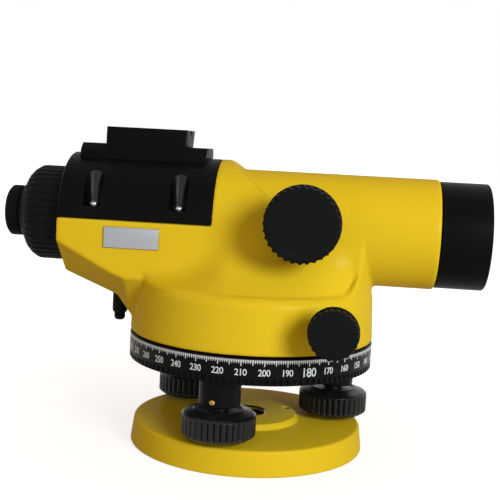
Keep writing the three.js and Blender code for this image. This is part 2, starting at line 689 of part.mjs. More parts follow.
function wormShaft() {
  const core = drive.wormPitchRadius - wormTooth.root;
  const reach = toothPitch * drive.wormTurns / 2;
  const steps = Math.round(drive.wormTurns * 14);
  const rings = Array.from({ length: steps + 1 }, (_, i) => {
    const turn = 2 * Math.PI * drive.wormTurns * (i / steps - 1 / 2);
    const along = toothPitch * turn / (2 * Math.PI);
    const [c, s] = [Math.cos(turn + Math.PI), Math.sin(turn + Math.PI)];
    const [inside, outside] = [core - gap, drive.wormPitchRadius + wormTooth.tip];
    const [wide, slim] = [drive.rootShare * toothPitch, drive.tipShare * toothPitch];
    return [[inside, -wide], [outside, -slim], [outside, slim], [inside, wide]]
      .map(([r, z]) => [r * c, r * s, z + along]);
  });
  const end = reach + toothPitch;
  const body = turned([
    [0, -wormShaftEnd], [drive.shaftRadius, -wormShaftEnd], [drive.shaftRadius, -end], [core, -end],
    [core, end], [drive.shaftRadius, end], [drive.shaftRadius, wormShaftEnd], [0, wormShaftEnd],
  ], 8);
  return alongY(join(body, loft(rings)));
}

function wormBush() {
  return alongY(tube(drive.bushRadius, drive.shaftRadius + gap, wormBushInner, wormBushOuter, 14));
}

function tangentKnob() {
  const ribEnd = tangentFace - tangent.length + tangent.flangeThickness;
  const back = tangentFace - tangent.length;
  const core = turned([
    [0, shankEnd], [tangent.shankRadius, shankEnd], [tangent.shankRadius, back - tangent.edge],
    [tangent.flangeRadius - tangent.edge, back], [tangent.flangeRadius, back + tangent.edge],
    [tangent.flangeRadius, ribEnd], [tangent.faceRadius, ribEnd + tangent.edge],
    [tangent.faceRadius, tangentFace - tangent.edge], [tangent.faceRadius - tangent.edge, tangentFace],
    [0, tangentFace],
  ], 14);
  const grip = slab(
    ribbed(tangent.ribRadius, tangent.ribDepth + gap, tangent.ribs),
    ribEnd - gap,
    tangentFace - tangent.edge,
  );
  const bore = rod(drive.shaftRadius + gap, shankEnd - overrun, wormShaftEnd + gap, 8);
  return alongY(cut(join(core, grip), bore));
}

// Focusing: scalloped knob, bush, pinion shaft, carriage with rack, lens
function focusKnob() {
  const back = focusFace - focus.knobLength;
  const lobed = Array.from({ length: focus.lobes * 3 }, (_, i) => {
    const angle = 2 * Math.PI * i / (focus.lobes * 3);
    return polar(focus.knobRadius - focus.lobeDepth / 2 * (1 - Math.cos(focus.lobes * angle)), angle);
  });
  const crest = focus.knobRadius - focus.lobeDepth - gap;
  const core = turned([
    [0, bossFace + gap], [focus.hubRadius, bossFace + gap], [focus.hubRadius, back - focus.flangeThickness],
    [focus.flangeRadius - focus.edge / 2, back - focus.flangeThickness],
    [focus.flangeRadius, back - focus.edge / 2],
    [focus.flangeRadius - focus.edge / 2, back], [crest, back], [crest, focusFace - focus.edge / 2],
    [crest - focus.edge, focusFace], [0, focusFace],
  ], 18);
  const grip = slab(lobed, back - focus.edge / 3, focusFace - focus.edge);
  const bore = rod(focus.shaftRadius + gap, box.half, focusShaftEnd + gap, 8);
  return alongY(cut(join(core, grip), bore)).rotateZ(Math.PI);
}

function focusBush() {
  const bush = tube(focus.bushRadius, focus.shaftRadius + gap, barrelBore + gap, bossFace, 14);
  return alongY(bush).rotateZ(Math.PI);
}

function focusPinion() {
  const gear = slab(
    toothed(focus.pinionPitchRadius, focus.pinionTeeth, focus.tip, focus.root),
    pinionInnerFace,
    pinionOuterFace,
  );
  return alongY(join(gear, rod(focus.shaftRadius, pinionInnerFace, focusShaftEnd, 10))).rotateZ(Math.PI);
}

function rackOutline(pitch, pitchLine) {
  const count = Math.floor((carriage.front - carriage.rear) / pitch) - 1;
  const start = focus.x - Math.floor((focus.x - carriage.rear) / pitch) * pitch;
  const outline = [[carriage.rear, rackLow], [carriage.front, rackLow]];
  outline.push([carriage.front, pitchLine - focus.root]);
  for (let i = count; i >= 0; i -= 1) {
    const x = start + (i + 1 / 2) * pitch;
    if (x + drive.rootShare * pitch >= carriage.front) continue;
    const [wide, slim] = [drive.rootShare * pitch, drive.tipShare * pitch];
    outline.push([x + wide, pitchLine - focus.root], [x + slim, pitchLine + focus.tip]);
    outline.push([x - slim, pitchLine + focus.tip], [x - wide, pitchLine - focus.root]);
  }
  outline.push([carriage.rear, pitchLine - focus.root]);
  return outline;
}

function focusCarriage() {
  const profile = [
    [carriageInner, carriage.rear], [carriageRing, carriage.rear],
    [carriageRing, carriage.rear + carriage.ringWidth],
    [carriageOuter, carriage.rear + carriage.ringWidth], [carriageOuter, carriage.front - carriage.ringWidth],
    [carriageRing, carriage.front - carriage.ringWidth], [carriageRing, carriage.front],
    [carriageInner, carriage.front],
  ];
  const pitchLine = focusHeight - focus.pinionPitchRadius;
  const pitch = 2 * Math.PI * focus.pinionPitchRadius / focus.pinionTeeth;
  const clearRadius = focus.pinionPitchRadius + focus.tip + 2 * gap;
  const slot = block(
    carriage.rear - overrun, carriage.front + overrun, -barrelBore - overrun, -carriageOuter - gap,
    rackLow, focusHeight + clearRadius,
  );
  const rack = sideSlab(rackOutline(pitch, pitchLine), -rackOuter, -rackInner);
  const bore = onSightline(rod(carriageInner, carriage.rear - overrun, carriage.front + overrun, 22));
  return cut(join(cut(onSightline(turned(profile, 22)), slot), rack), bore);
}

// A lens turned about the sightline, with a bow that is positive where it bulges
function lens(radius, rear, front, bow, sides = 18) {
  const faceOf = (edge, sign) => Array.from({ length: 4 }, (_, i) => {
    const share = i / 3;
    return [radius * share, edge + sign * bow * (1 - share * share)];
  });
  return onSightline(turned([...faceOf(rear, -1), ...faceOf(front, 1).reverse()], sides));
}

function objectiveCell() {
  return onSightline(turned([
    [cellInner - objective.lip, objectiveRear], [barrelBore - gap, objectiveRear],
    [barrelBore - gap, objectiveFront], [cellInner, objectiveFront],
    [cellInner, objectiveLensRear - gap], [cellInner - objective.lip, objectiveLensRear - gap],
  ], 16));
}

function lensHood() {
  return onSightline(turned([
    [spigotInner, spigotRear], [barrelBore - gap, spigotRear], [barrelBore - gap, hoodRear],
    [hoodOuter, hoodRear], [hoodOuter, hoodFront - hood.edge], [hoodOuter - hood.edge, hoodFront],
    [hoodInner, hoodFront], [hoodInner, hoodRear + hoodOuter - hoodInner], [spigotInner, hoodRear],
  ], 36));
}

// Cover over the compensator bay
function coverScrewPlaces() {
  return [cover.pocketRear, cover.pocketFront].flatMap((x) => [[x, -pocketY], [x, pocketY]]);
}

function telescopeCover() {
  const low = boxSeat + gap;
  const shell = onSightline(turned([
    [0, box.rear], [box.half - cover.edge, box.rear], [box.half, box.rear + cover.edge],
    [box.half, coverFront], [box.half - cover.wall, coverFront],
    [box.half - cover.wall, box.rear + cover.wall], [0, box.rear + cover.wall],
  ], 32));
  const whole = onSightline(rod(box.half - cover.wall / 2, box.rear + cover.wall / 2, coverFront, 42));
  const peak = sightline + box.half + overrun;
  const columns = coverScrewPlaces().map(([x, y]) => (
    common(rod(cover.pocketRadius + cover.pocketWall, low, peak, 12).translate(x, y, 0), whole)));
  const below = block(
    box.rear - overrun, coverFront + overrun, -box.half - overrun, box.half + overrun,
    sightline - box.half - overrun, low,
  );
  const pockets = coverScrewPlaces().flatMap(([x, y]) => {
    const outer = Math.sign(y) * (box.half + overrun);
    const mouth = block(
      x - cover.pocketRadius, x + cover.pocketRadius, Math.min(y, outer), Math.max(y, outer),
      pocketFloor, peak,
    );
    return [
      rod(cover.pocketRadius, pocketFloor, peak, 12).translate(x, y, 0), mouth,
      rod(cover.holeRadius, low - overrun, pocketFloor + overrun, 10).translate(x, y, 0),
    ];
  });
  const eyeHole = onSightline(rod(eyeBore, box.rear - overrun, box.bayRear + overrun, 20));
  return cut(join(shell, ...columns), below, eyeHole, ...pockets);
}

function coverScrew() {
  const seat = pocketFloor + gap;
  return turned([
    [0, coverScrewLow], [cover.screwShank, coverScrewLow], [cover.screwShank, seat], [cover.screwHead, seat],
    [cover.screwHead, seat + cover.screwHeadHeight / 2], [cover.screwHead / 2, seat + cover.screwHeadHeight],
    [0, seat + cover.screwHeadHeight],
  ], 8);
}

function sightRail() {
  const ends = sideSlab([
    [rail.rear - rail.slant, railLow], [rail.front + rail.slant, railLow],
    [rail.front, railTop], [rail.rear, railTop],
  ], -rail.lowHalf - overrun, rail.lowHalf + overrun);
  const across = slab([
    [-railLow, -rail.lowHalf], [-railLow, rail.lowHalf], [rail.bevel - railTop, rail.midHalf],
    [-railTop, rail.topHalf], [-railTop, -rail.topHalf], [rail.bevel - railTop, -rail.midHalf],
  ], rail.rear - rail.slant - overrun, rail.front + rail.slant + overrun).rotateY(Math.PI / 2);
  const past = rail.slant + 2 * overrun;
  const arch = onSightline(rod(box.half + gap, rail.rear - past, rail.front + past, 42));
  return cut(common(ends, across), arch);
}

function peepSight() {
  const low = railTop + gap;
  const body = sideSlab([
    [sight.rear, low], [sight.front, low], [sight.front, sightTop - sight.edge],
    [sight.front - sight.edge, sightTop], [sight.rear + sight.edge, sightTop],
    [sight.rear, sightTop - sight.edge],
  ], -sight.half, sight.half);
  const groove = block(
    sight.rear - overrun, sight.front + overrun, -sight.grooveHalf, sight.grooveHalf,
    sightTop - sight.grooveDepth, sightTop + overrun,
  );
  return cut(body, groove);
}

function nameplate() {
  const outer = -box.half - gap;
  const [low, high] = [sightline - plate.bottomDrop, sightline - plate.topDrop];
  return block(plate.rear, plate.front, outer - plate.thickness, outer, low, high);
}

// Eyepiece end
function eyepieceSleeve() {
  return onSightline(turned([
    [sleeveInner, sleeveRear], [eye.sleeveRadius, sleeveRear], [eye.sleeveRadius, flangeRear],
    [eye.flangeRadius, flangeRear], [eye.flangeRadius, flangeFront], [eye.sleeveRadius, flangeFront],
    [eye.sleeveRadius, box.bayRear - eye.sleeveJoint], [sleeveInner, box.bayRear - eye.sleeveJoint],
  ], 14));
}

function dioptreRing() {
  const tip = ringTip;
  const dome = eye.domeShares.map(([along, out]) => [
    tipRadius + (eye.ringRadius - eye.fluteDepth - tipRadius) * out, ringRear + (tip - ringRear) * along,
  ]);
  const core = turned([
    [sleeveInner, tip], ...dome.reverse(), [eye.ringRadius - eye.fluteDepth - gap, ringFront],
    [eye.sleeveRadius + gap, ringFront], [eye.sleeveRadius + gap, sleeveRear - gap],
    [sleeveInner, sleeveRear - gap],
  ], 18);
  const flutes = slab(ribbed(eye.ringRadius, eye.fluteDepth + gap, eye.flutes), ringRear, ringFront - gap);
  const centre = rod(eye.sleeveRadius + overrun, ringRear - overrun, ringFront + overrun, 24);
  return onSightline(join(core, cut(flutes, centre)));
}

function eyepieceCell() {
  return onSightline(turned([
    [eyeCellInner, eyeCellRear], [eyeCellRadius, eyeCellRear], [eyeCellRadius, eyeCellFront],
    [eyeCellInner - eye.cellLip, eyeCellFront], [eyeCellInner - eye.cellLip, eyeLensFront + gap],
    [eyeCellInner, eyeLensFront + gap],
  ], 14));
}

function eyecup() {
  const front = eyeCellRear - gap;
  return onSightline(turned([
    [eye.cupInner + eye.cupEdge, cupRear], [eye.cupRadius - eye.cupEdge, cupRear],
    [eye.cupRadius, cupRear + eye.cupEdge], [eye.cupRadius, front], [eye.cupInner, front],
    [eye.cupInner, cupRear + eye.cupEdge],
  ], 18));
}

function reticleCell() {
  const outer = eyeBore - reticle.room;
  const front = reticleRear + reticle.length;
  const glassFront = reticleRear + reticle.glassThickness;
  return onSightline(turned([
    [0, reticleRear], [outer, reticleRear], [outer, front], [reticle.inner, front],
    [reticle.inner, glassFront], [0, glassFront],
  ], 14));
}

// Compensator: frame with its pin, pendulum, prisms
function compensatorFrame() {
  const low = bayFloor + gap;
  const high = low + compensator.floorThickness;
  const floor = block(compensator.rear, compensator.front, -frameHalf, frameHalf, low, high);
  const cheeks = [-1, 1].map((side) => {
    const inner = side * (frameHalf - compensator.cheek);
    const outer = side * frameHalf;
    return block(
      compensator.x - compensator.cheekHalf, compensator.x + compensator.cheekHalf,
      Math.min(inner, outer), Math.max(inner, outer), low, bayFloor + compensator.cheekRise,
    );
  });
  const pinHalf = frameHalf - compensator.cheek / 2;
  const pin = crossBore(compensator.pinRadius, -pinHalf, pinHalf, compensator.x, pivotHeight, 8);
  const hole = rod(check.floorHole, low - overrun, high + overrun, 12).translate(checkX, 0, 0);
  return cut(join(floor, ...cheeks, pin), hole);
}

function pendulum() {
  const { x, strap, strapHalf, barHalfHeight } = compensator;
  const half = pendulumHalf;
  const top = pivotHeight + barHalfHeight;
  const bar = block(x - strapHalf, x + strapHalf, -half, half, pivotHeight - barHalfHeight, top);
  const near = block(x - strapHalf, x + strapHalf, -half, strap - half, weightLow, top);
  const far = block(x - strapHalf, x + strapHalf, half - strap, half, weightLow, top);
  const weight = block(
    compensator.weightRear, compensator.weightFront, -half, half, weightLow, weightHigh,
  );
  const bore = crossBore(compensator.pinRadius + gap, -half - overrun, half + overrun, x, pivotHeight, 8);
  return cut(join(bar, near, far, weight), bore);
}

function pendulumPrism() {
  const low = weightHigh + gap;
  return sideSlab([
    [compensator.x - compensator.prismReach, low], [compensator.x + compensator.prismReach, low],
    [compensator.x, bayFloor + compensator.prismRise],
  ], -prismHalf, prismHalf);
}

function relayPrism() {
  const low = bayFloor + compensator.floorThickness + 2 * gap;
  return sideSlab([
    [compensator.relayRear, low], [compensator.relayFront, low],
    [compensator.relayFront, bayFloor + compensator.relayRise],
  ], -prismHalf, prismHalf);
}

// Check button with its guide and spring
function checkButton() {
  const rodTop = bayFloor + check.rodRise;
  return turned([
    [0, buttonBottom], [check.stemRadius - check.edge, buttonBottom],
    [check.stemRadius, buttonBottom + check.edge], [check.stemRadius, buttonStemTop],
    [check.rodRadius, buttonStemTop], [check.rodRadius, rodTop], [0, rodTop],
  ], 10);
}

function buttonGuide() {
  return turned([
    [check.guideBore, guideBottom], [check.guideRadius - check.edge, guideBottom],
    [check.guideRadius, guideBottom + check.edge], [check.guideRadius, guideTop],
    [check.guideBore, guideTop],
  ], 8);
}

function coil(radius, wire, low, high, turns) {
  const [perTurn, sides] = [8, 4];
  const rings = Array.from({ length: turns * perTurn + 1 }, (_, i) => {
    const angle = 2 * Math.PI * i / perTurn;
    const centre = low + wire + (high - low - 2 * wire) * i / (turns * perTurn);
    return Array.from({ length: sides }, (_, k) => {
      const [across, up] = polar(wire, 2 * Math.PI * k / sides);
      return [...polar(radius + across, angle), centre + up];
    });
  });
  return loft(rings);
}

function buttonSpring() {
  return coil(check.springRadius, check.springWire, buttonStemTop + gap, guideTop, check.springTurns);
}

// Circular vial beside the drum, on the side away from the knob
function vialPlace() {
  return polar(circle.radius - vial.inset, vial.angle * Math.PI / 180);
}

function vialCase() {
  const low = drumTop + gap;
  const top = low + vial.height;
  return turned([
    [0, low], [vial.radius, low], [vial.radius, top], [vial.radius - vial.wall, top],
    [vial.radius - vial.wall, low + vial.floor], [0, low + vial.floor],
  ], 14);
}

function circularVial() {
  const low = drumTop + 2 * gap + vial.floor;
  const top = drumTop + vial.height;
  return turned([
    [0, low], [vialGlass, low], [vialGlass, top - vial.dome], [vialGlass / 2, top - vial.dome / 4],
    [0, top],
  ], 14);
}

// The whole instrument
const level = new THREE.Group();
level.position.x = -middle;

function add(name, geometry, material, x = 0, y = 0, z = 0) {
  const mesh = new THREE.Mesh(geometryOf(solidOf(geometry)), material);
  mesh.name = name;
  mesh.position.set(x, y, z);
  level.add(mesh);
}

add('base_plate', basePlate(), finish.yellow);
add('spring_plate', springPlatePiece(), finish.steel);
for (let k = 0; k < foot.count; k += 1) {
  const [x, y] = polar(base.screwPitchRadius, (base.screwAngle + k * 360 / foot.count) * Math.PI / 180);
  add(`spring_plate_screw_${k + 1}`, springPlateScrew(), finish.steel, x, y);
}
footAngles().forEach((angle, k) => {
  const [x, y] = polar(footCircle, angle);
  add(`ball_cup_${k + 1}`, ballCup(), finish.brass, x, y);
  add(`foot_ball_${k + 1}`, footBall(), finish.steel, x, y);
  add(`foot_screw_${k + 1}`, footScrew(), finish.black, x, y);
  add(`foot_bush_${k + 1}`, footBush(), finish.black, x, y);
});
add('trivet', trivet(), finish.alloy);
add('axis_sleeve', axisSleeve(), finish.steel);
add('horizontal_circle', horizontalCircle(), finish.black);
add('worm_wheel', wormWheel(), finish.brass);
add('spindle', spindle(), finish.steel);
add('housing', housingPiece(), finish.yellow);
add('worm_shaft', wormShaft(), finish.steel, driveX, 0, driveHeight);
add('worm_bush_far', wormBush(), finish.black, driveX, 0, driveHeight);
add('worm_bush_near', wormBush().rotateZ(Math.PI), finish.black, driveX, 0, driveHeight);
add('tangent_knob_far', tangentKnob(), finish.black, driveX, 0, driveHeight);
add('tangent_knob_near', tangentKnob().rotateZ(Math.PI), finish.black, driveX, 0, driveHeight);
add('focus_bush', focusBush(), finish.brass, focus.x, 0, focusHeight);
add('focus_pinion', focusPinion(), finish.steel, focus.x, 0, focusHeight);
add('focus_knob', focusKnob(), finish.black, focus.x, 0, focusHeight);
add('focus_carriage', focusCarriage(), finish.alloy);
const innerLens = lens(carriageInner - gap, carriage.lensRear, carriage.lensFront, -carriage.hollow);
add('focus_lens', innerLens, finish.glass);
add('lens_hood', lensHood(), finish.black);
add('objective_cell', objectiveCell(), finish.alloy);
const frontRadius = cellInner - objective.lensRoom;
add('objective_lens', lens(frontRadius, objectiveLensRear, objectiveLensFront, objective.bow), finish.glass);
add('telescope_cover', telescopeCover(), finish.black);
coverScrewPlaces().forEach(([x, y], k) => add(`cover_screw_${k + 1}`, coverScrew(), finish.steel, x, y));
add('sight_rail', sightRail(), finish.black);
add('peep_sight', peepSight(), finish.black);
add('nameplate', nameplate(), finish.alloy);
add('eyepiece_sleeve', eyepieceSleeve(), finish.black);
add('dioptre_ring', dioptreRing(), finish.black);
add('eyepiece_cell', eyepieceCell(), finish.black);
add('eye_lens', lens(eyeCellInner - gap, eyeLensRear, eyeLensFront, eye.lensBow, 18), finish.glass);
add('eyecup', eyecup(), finish.rubber);
add('reticle_cell', reticleCell(), finish.alloy);
add('compensator_frame', compensatorFrame(), finish.alloy);
add('pendulum', pendulum(), finish.brass);
add('pendulum_prism', pendulumPrism(), finish.glass);
add('relay_prism', relayPrism(), finish.glass);
add('check_button', checkButton(), finish.black, checkX);
add('button_guide', buttonGuide(), finish.black, checkX);
add('button_spring', buttonSpring(), finish.steel, checkX);
add('vial_case', vialCase(), finish.black, ...vialPlace());
add('circular_vial', circularVial(), finish.glass, ...vialPlace());

export default level;
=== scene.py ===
from math import atan2, cos, hypot, pi, radians, sin, sqrt, tan

import bmesh
import bpy
from mathutils import Matrix, Vector


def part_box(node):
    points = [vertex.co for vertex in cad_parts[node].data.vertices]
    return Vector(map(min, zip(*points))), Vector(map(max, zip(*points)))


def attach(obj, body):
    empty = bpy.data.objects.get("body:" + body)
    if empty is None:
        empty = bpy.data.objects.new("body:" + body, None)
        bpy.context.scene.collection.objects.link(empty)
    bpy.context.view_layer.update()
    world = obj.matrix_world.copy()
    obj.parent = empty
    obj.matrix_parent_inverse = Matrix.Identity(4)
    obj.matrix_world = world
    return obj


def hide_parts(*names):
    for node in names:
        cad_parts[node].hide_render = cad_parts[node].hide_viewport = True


bl_info = {
    "name": "Optical Level",
    "version": (1, 0, 0),
    "blender": (4, 5, 0),
    "location": "3D View > Sidebar > Optical Level",
    "description": "Finished surfaces, studio and camera for an automatic optical level",
    "category": "Add Mesh",
}

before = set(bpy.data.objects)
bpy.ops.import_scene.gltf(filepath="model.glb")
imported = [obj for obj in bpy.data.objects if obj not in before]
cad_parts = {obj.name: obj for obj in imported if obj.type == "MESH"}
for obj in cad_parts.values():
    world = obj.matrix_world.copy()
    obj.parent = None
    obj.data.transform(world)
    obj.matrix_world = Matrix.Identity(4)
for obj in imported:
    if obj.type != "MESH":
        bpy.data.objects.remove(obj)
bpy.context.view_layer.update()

# Lengths are in millimetres about the vertical axis: X to the objective, Z up from the foot plate's underside.
# Only the studio, Blender's own values and the sizes that a user would change are in metres.
MM = 0.001
CIRCLE_LOW, CIRCLE_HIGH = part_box("horizontal_circle")
AXIS_X = (CIRCLE_LOW.x + CIRCLE_HIGH.x) / 2 / MM
SIGHTLINE = 95.6

# An axis that pieces are turned on: its direction and a place on it
UPRIGHT = ("Z", (0, 0, 0))
ALONG_X = ("X", (0, 0, 0))
SIGHT = ("X", (0, 0, SIGHTLINE))
WORM = ("Y", (35.5, 0, 61))
FOCUS = ("Y", (21, 0, 100))
BUTTON = ("Z", (-58.8, 0, 0))
VIAL = ("Z", (-26, 43, 0))


def at_angle(radius, angle, height=0):
    """A place at a distance from the vertical axis."""
    return (radius * cos(angle), radius * sin(angle), height)


FOOT_PLACES = [at_angle(39.17, radians(17.9 - 120 * k)) for k in range(3)]
PLATE_SCREW_ANGLES = [radians(29 + 120 * k) for k in range(3)]
PLATE_SCREW_PLACES = [at_angle(19.1, angle) for angle in PLATE_SCREW_ANGLES]
COVER_SCREW_PLACES = [(x, y, 0) for x in (-66.6, -30.85) for y in (-21.75, 21.75)]


def srgb(red, green, blue):
    """A display colour from 0 to 255 as the linear colour that shaders use."""
    shares = [value / 255 for value in (red, green, blue)]
    return tuple(s / 12.92 if s <= 0.04045 else ((s + 0.055) / 1.055) ** 2.4 for s in shares)


# Sizes, colours and studio values that a user would change

def length(name, description, millimetres):
    return bpy.props.FloatProperty(name=name, description=description, default=millimetres * MM, min=0,
                                   subtype="DISTANCE", unit="LENGTH", precision=5)


def count(name, description, number):
    return bpy.props.IntProperty(name=name, description=description, default=number, min=3)


def colour(name, description, red, green, blue):
    return bpy.props.FloatVectorProperty(name=name, description=description, default=srgb(red, green, blue),
                                         size=3, min=0, max=1, subtype="COLOR")


def swing(name, description, angle):
    return bpy.props.FloatProperty(name=name, description=description, default=angle, subtype="ANGLE",
                                   unit="ROTATION")


def power(name, description, watts):
    return bpy.props.FloatProperty(name=name, description=description, default=watts, subtype="POWER",
                                   unit="POWER")


class LevelSizes(bpy.types.PropertyGroup):
    """Sizes and counts of the instrument's details."""
    casting_round: length("Casting rounding", "Size of the cells that round the painted casting's edges", 0.7)
    foot_ribs: count("Foot screw ribs", "Ribs round a levelling screw's knob", 36)
    foot_rib_depth: length("Foot rib depth", "Depth of the grooves in a levelling screw's knob", 0.85)
    circle_notches: count("Circle notches", "Grip notches round the graduated circle", 120)
    notch_depth: length("Notch depth", "Depth of the circle's grip notches", 0.8)
    focus_lobes: count("Focus knob lobes", "Scallops round the focusing knob", 32)
    lobe_depth: length("Lobe depth", "Depth of the focusing knob's scallops", 0.8)
    tangent_ribs: count("Tangent knob ribs", "Ribs round a tangent knob", 24)
    tangent_rib_depth: length("Tangent rib depth", "Depth of the grooves in a tangent knob", 0.55)
    dioptre_flutes: count("Dioptre flutes", "Flutes round the dioptre ring", 40)
    flute_depth: length("Flute depth", "Depth of the dioptre ring's flutes", 0.6)
    tick_width: length("Tick width", "Width of a graduation line", 0.26)
    number_height: length("Number height", "Height of the circle's numbers", 2.7)
    thread_pitch: length("Thread pitch", "Pitch of the tripod thread", 2.309)


class LevelColours(bpy.types.PropertyGroup):
    """Colours of the instrument's finishes."""
    paint: colour("Yellow paint", "Enamel of the housing and the foot plate", 219, 195, 40)
    paint_shade: colour("Yellow paint, thin", "Enamel where it lies thinner", 214, 186, 32)
    cover: colour("Black cover", "Satin black of the cover, rail and hood", 7, 8, 8)
    knob: colour("Black knob", "Moulded plastic of the knobs", 15, 17, 19)
    circle: colour("Circle black", "Black of the graduated circle", 10, 10, 12)
    rubber: colour("Rubber", "Rubber of the eyecup", 15, 15, 16)
    marking: colour("Markings", "Ink of the graduations and numbers", 206, 220, 232)
    band: colour("Graduation band", "Silver band at the circle's upper edge", 150, 154, 156)
    nameplate: colour("Plate", "Anodised side plate", 160, 164, 170)
    steel: colour("Steel", "Turned steel", 186, 188, 190)
    brass: colour("Brass", "Turned brass", 184, 146, 66)
    alloy: colour("Alloy", "Light alloy", 168, 170, 172)
    coating: colour("Lens coating", "Tint of the coated glass", 196, 214, 220)
    vial: colour("Vial liquid", "Tint of the round vial's liquid", 206, 224, 150)


class LevelStudio(bpy.types.PropertyGroup):
    """Camera and light of the studio."""
    distance: length("Camera distance", "From the vertical axis to the camera", 410.1)
    height: length("Camera height", "Above the floor", 128.0)
    offset: length("Camera offset", "To the left of the vertical axis", 0.83)
    pitch: swing("Pitch", "Camera looking down", 0.1065)
    turn: swing("Turn", "Camera round the instrument", 0.0888)
    roll: swing("Roll", "Camera rolled about its view", 0.0293)
    lean: swing("Lean", "Camera swung with the instrument's lean", 0.0236)
    focal: bpy.props.FloatProperty(name="Focal length", description="On a 36 mm frame", default=68.364,
                                   unit="CAMERA")
    key: power("Key light", "Power of the large soft lamp", 8.5)
    fill: power("Fill light", "Power of the frontal lamp", 1.0)
    sky: bpy.props.FloatProperty(name="Surrounding light", description="Strength of the light all round",
                                 default=0.40, min=0)


# Shapes: each is a list of points in millimetres and a list of faces

def on_axis(axis, first, second, along):
    """A point from its two measures across an axis and the one along it."""
    if axis == "X":
        return (along, first, second)
    if axis == "Y":
        return (second, along, first)
    return (first, second, along)


def upright(place):
    return ("Z", place)


# The least turn, in radians, that counts as a corner, and the share of a side that a rounding may take
LEAST_CORNER, MOST_OF_SIDE = 0.02, 0.45


def rounded(points, radius, closed=False, steps=4):
    """Rounds the corners of an outline. A point's third number is a radius of its own."""
    result = []
    for i, point in enumerate(points):
        here = Vector(point[:2])
        size = point[2] if len(point) > 2 else radius
        before = Vector(points[i - 1][:2]) - here
        after = Vector(points[(i + 1) % len(points)][:2]) - here
        at_end = not closed and i in (0, len(points) - 1)
        shorter = min(before.length, after.length)
        if at_end or size <= 0 or shorter < 1e-6 or pi - before.angle(after) < LEAST_CORNER:
            result.append(tuple(here))
            continue
        reach = min(size / tan(before.angle(after) / 2), MOST_OF_SIDE * shorter)
        start, end = here + before.normalized() * reach, here + after.normalized() * reach
        for k in range(steps + 1):
            t = k / steps
            result.append(tuple(start * (1 - t) ** 2 + here * 2 * t * (1 - t) + end * t * t))
    return result


def wall(radius, low, high, steps):
    """Even points up a straight side of a profile."""
    return [(radius, low + (high - low) * i / steps) for i in range(steps + 1)]


def lathe(profile, sides, on=UPRIGHT, relief=None):
    """Turns a profile of (radius, height), which starts and ends on the axis or closes on itself."""
    axis, place = on
    points, rings = [], []
    for radius, along in profile:
        ring = []
        for i in range(1 if radius < 1e-5 else sides):
            angle = 2 * pi * i / sides
            reach = relief(radius, along, angle) if relief and radius > 1e-5 else radius
            ring.append(len(points))
            points.append(on_axis(axis, reach * cos(angle), reach * sin(angle), along))
        rings.append(ring)
    pairs = list(zip(rings, rings[1:]))
    if len(rings[0]) > 1 or len(rings[-1]) > 1:
        pairs.append((rings[-1], rings[0]))
    faces = []
    for low, high in pairs:
        size = max(len(low), len(high))
        for i in range(size if size > 1 else 0):
            j = (i + 1) % size
            if len(low) == 1:
                faces.append((low[0], high[j], high[i]))
            elif len(high) == 1:
                faces.append((low[i], low[j], high[0]))
            else:
                faces.append((low[i], low[j], high[j], high[i]))
    return moved((points, faces), place)


def cylinder(radius, low, high, sides, on=UPRIGHT):
    return lathe([(0, low), (radius, low), (radius, high), (0, high)], sides, on)


def moved(shape, by):
    points, faces = shape
    return [(x + by[0], y + by[1], z + by[2]) for x, y, z in points], faces


def turned_about_z(shape, angle):
    points, faces = shape
    c, s = cos(angle), sin(angle)
    return [(x * c - y * s, x * s + y * c, z) for x, y, z in points], faces


def mirrored(shape):
    """The same shape on the other side of the sightline."""
    points, faces = shape
    return [(x, -y, z) for x, y, z in points], [tuple(reversed(face)) for face in faces]


def prism(outline, low, high, axis="Z"):
    """Raises an outline between two heights. It is (x, y) along Z, (y, z) along X and (z, x) along Y."""
    size = len(outline)
    points = [on_axis(axis, a, b, height) for height in (low, high) for a, b in outline]
    sides = [(i, (i + 1) % size, (i + 1) % size + size, i + size) for i in range(size)]
    return points, [tuple(reversed(range(size))), tuple(range(size, 2 * size)), *sides]


def side_prism(outline, near, far):
    """Spreads an (x, z) outline along Y."""
    return prism([(z, x) for x, z in outline], near, far, "Y")


def block(rear, front, near, far, low, high):
    return prism([(rear, near), (front, near), (front, far), (rear, far)], low, high)


def loft(rings):
    """A closed skin over rings of equal count."""
    size = len(rings[0])
    points = [point for ring in rings for point in ring]
    faces = [tuple(reversed(range(size))), tuple(range(len(points) - size, len(points)))]
    for r in range(len(rings) - 1):
        for i in range(size):
            j = (i + 1) % size
            faces.append((r * size + i, r * size + j, (r + 1) * size + j, (r + 1) * size + i))
    return points, faces


def together(*shapes):
    points, faces = [], []
    for more_points, more_faces in shapes:
        faces += [tuple(i + len(points) for i in face) for face in more_faces]
        points += more_points
    return points, faces


def smooth_step(value, low, high):
    t = min(1.0, max(0.0, (value - low) / (high - low)))
    return t * t * (3 - 2 * t)


def fluted(ribs, depth, low, high, fade, sharp, core, start=0.0):
    """Round ribs on a grip between two heights, running out at both ends. The core and all that lies below
    the start stay smooth."""
    def relief(radius, along, angle):
        if radius <= core or along <= start:
            return radius
        wave = abs(sin(ribs * angle / 2)) ** sharp
        run = smooth_step(along, low - fade / 2, low + fade / 2)
        run *= 1 - smooth_step(along, high - fade / 2, high + fade / 2)
        return radius - depth * (1 - wave) * run
    return relief


# Pieces

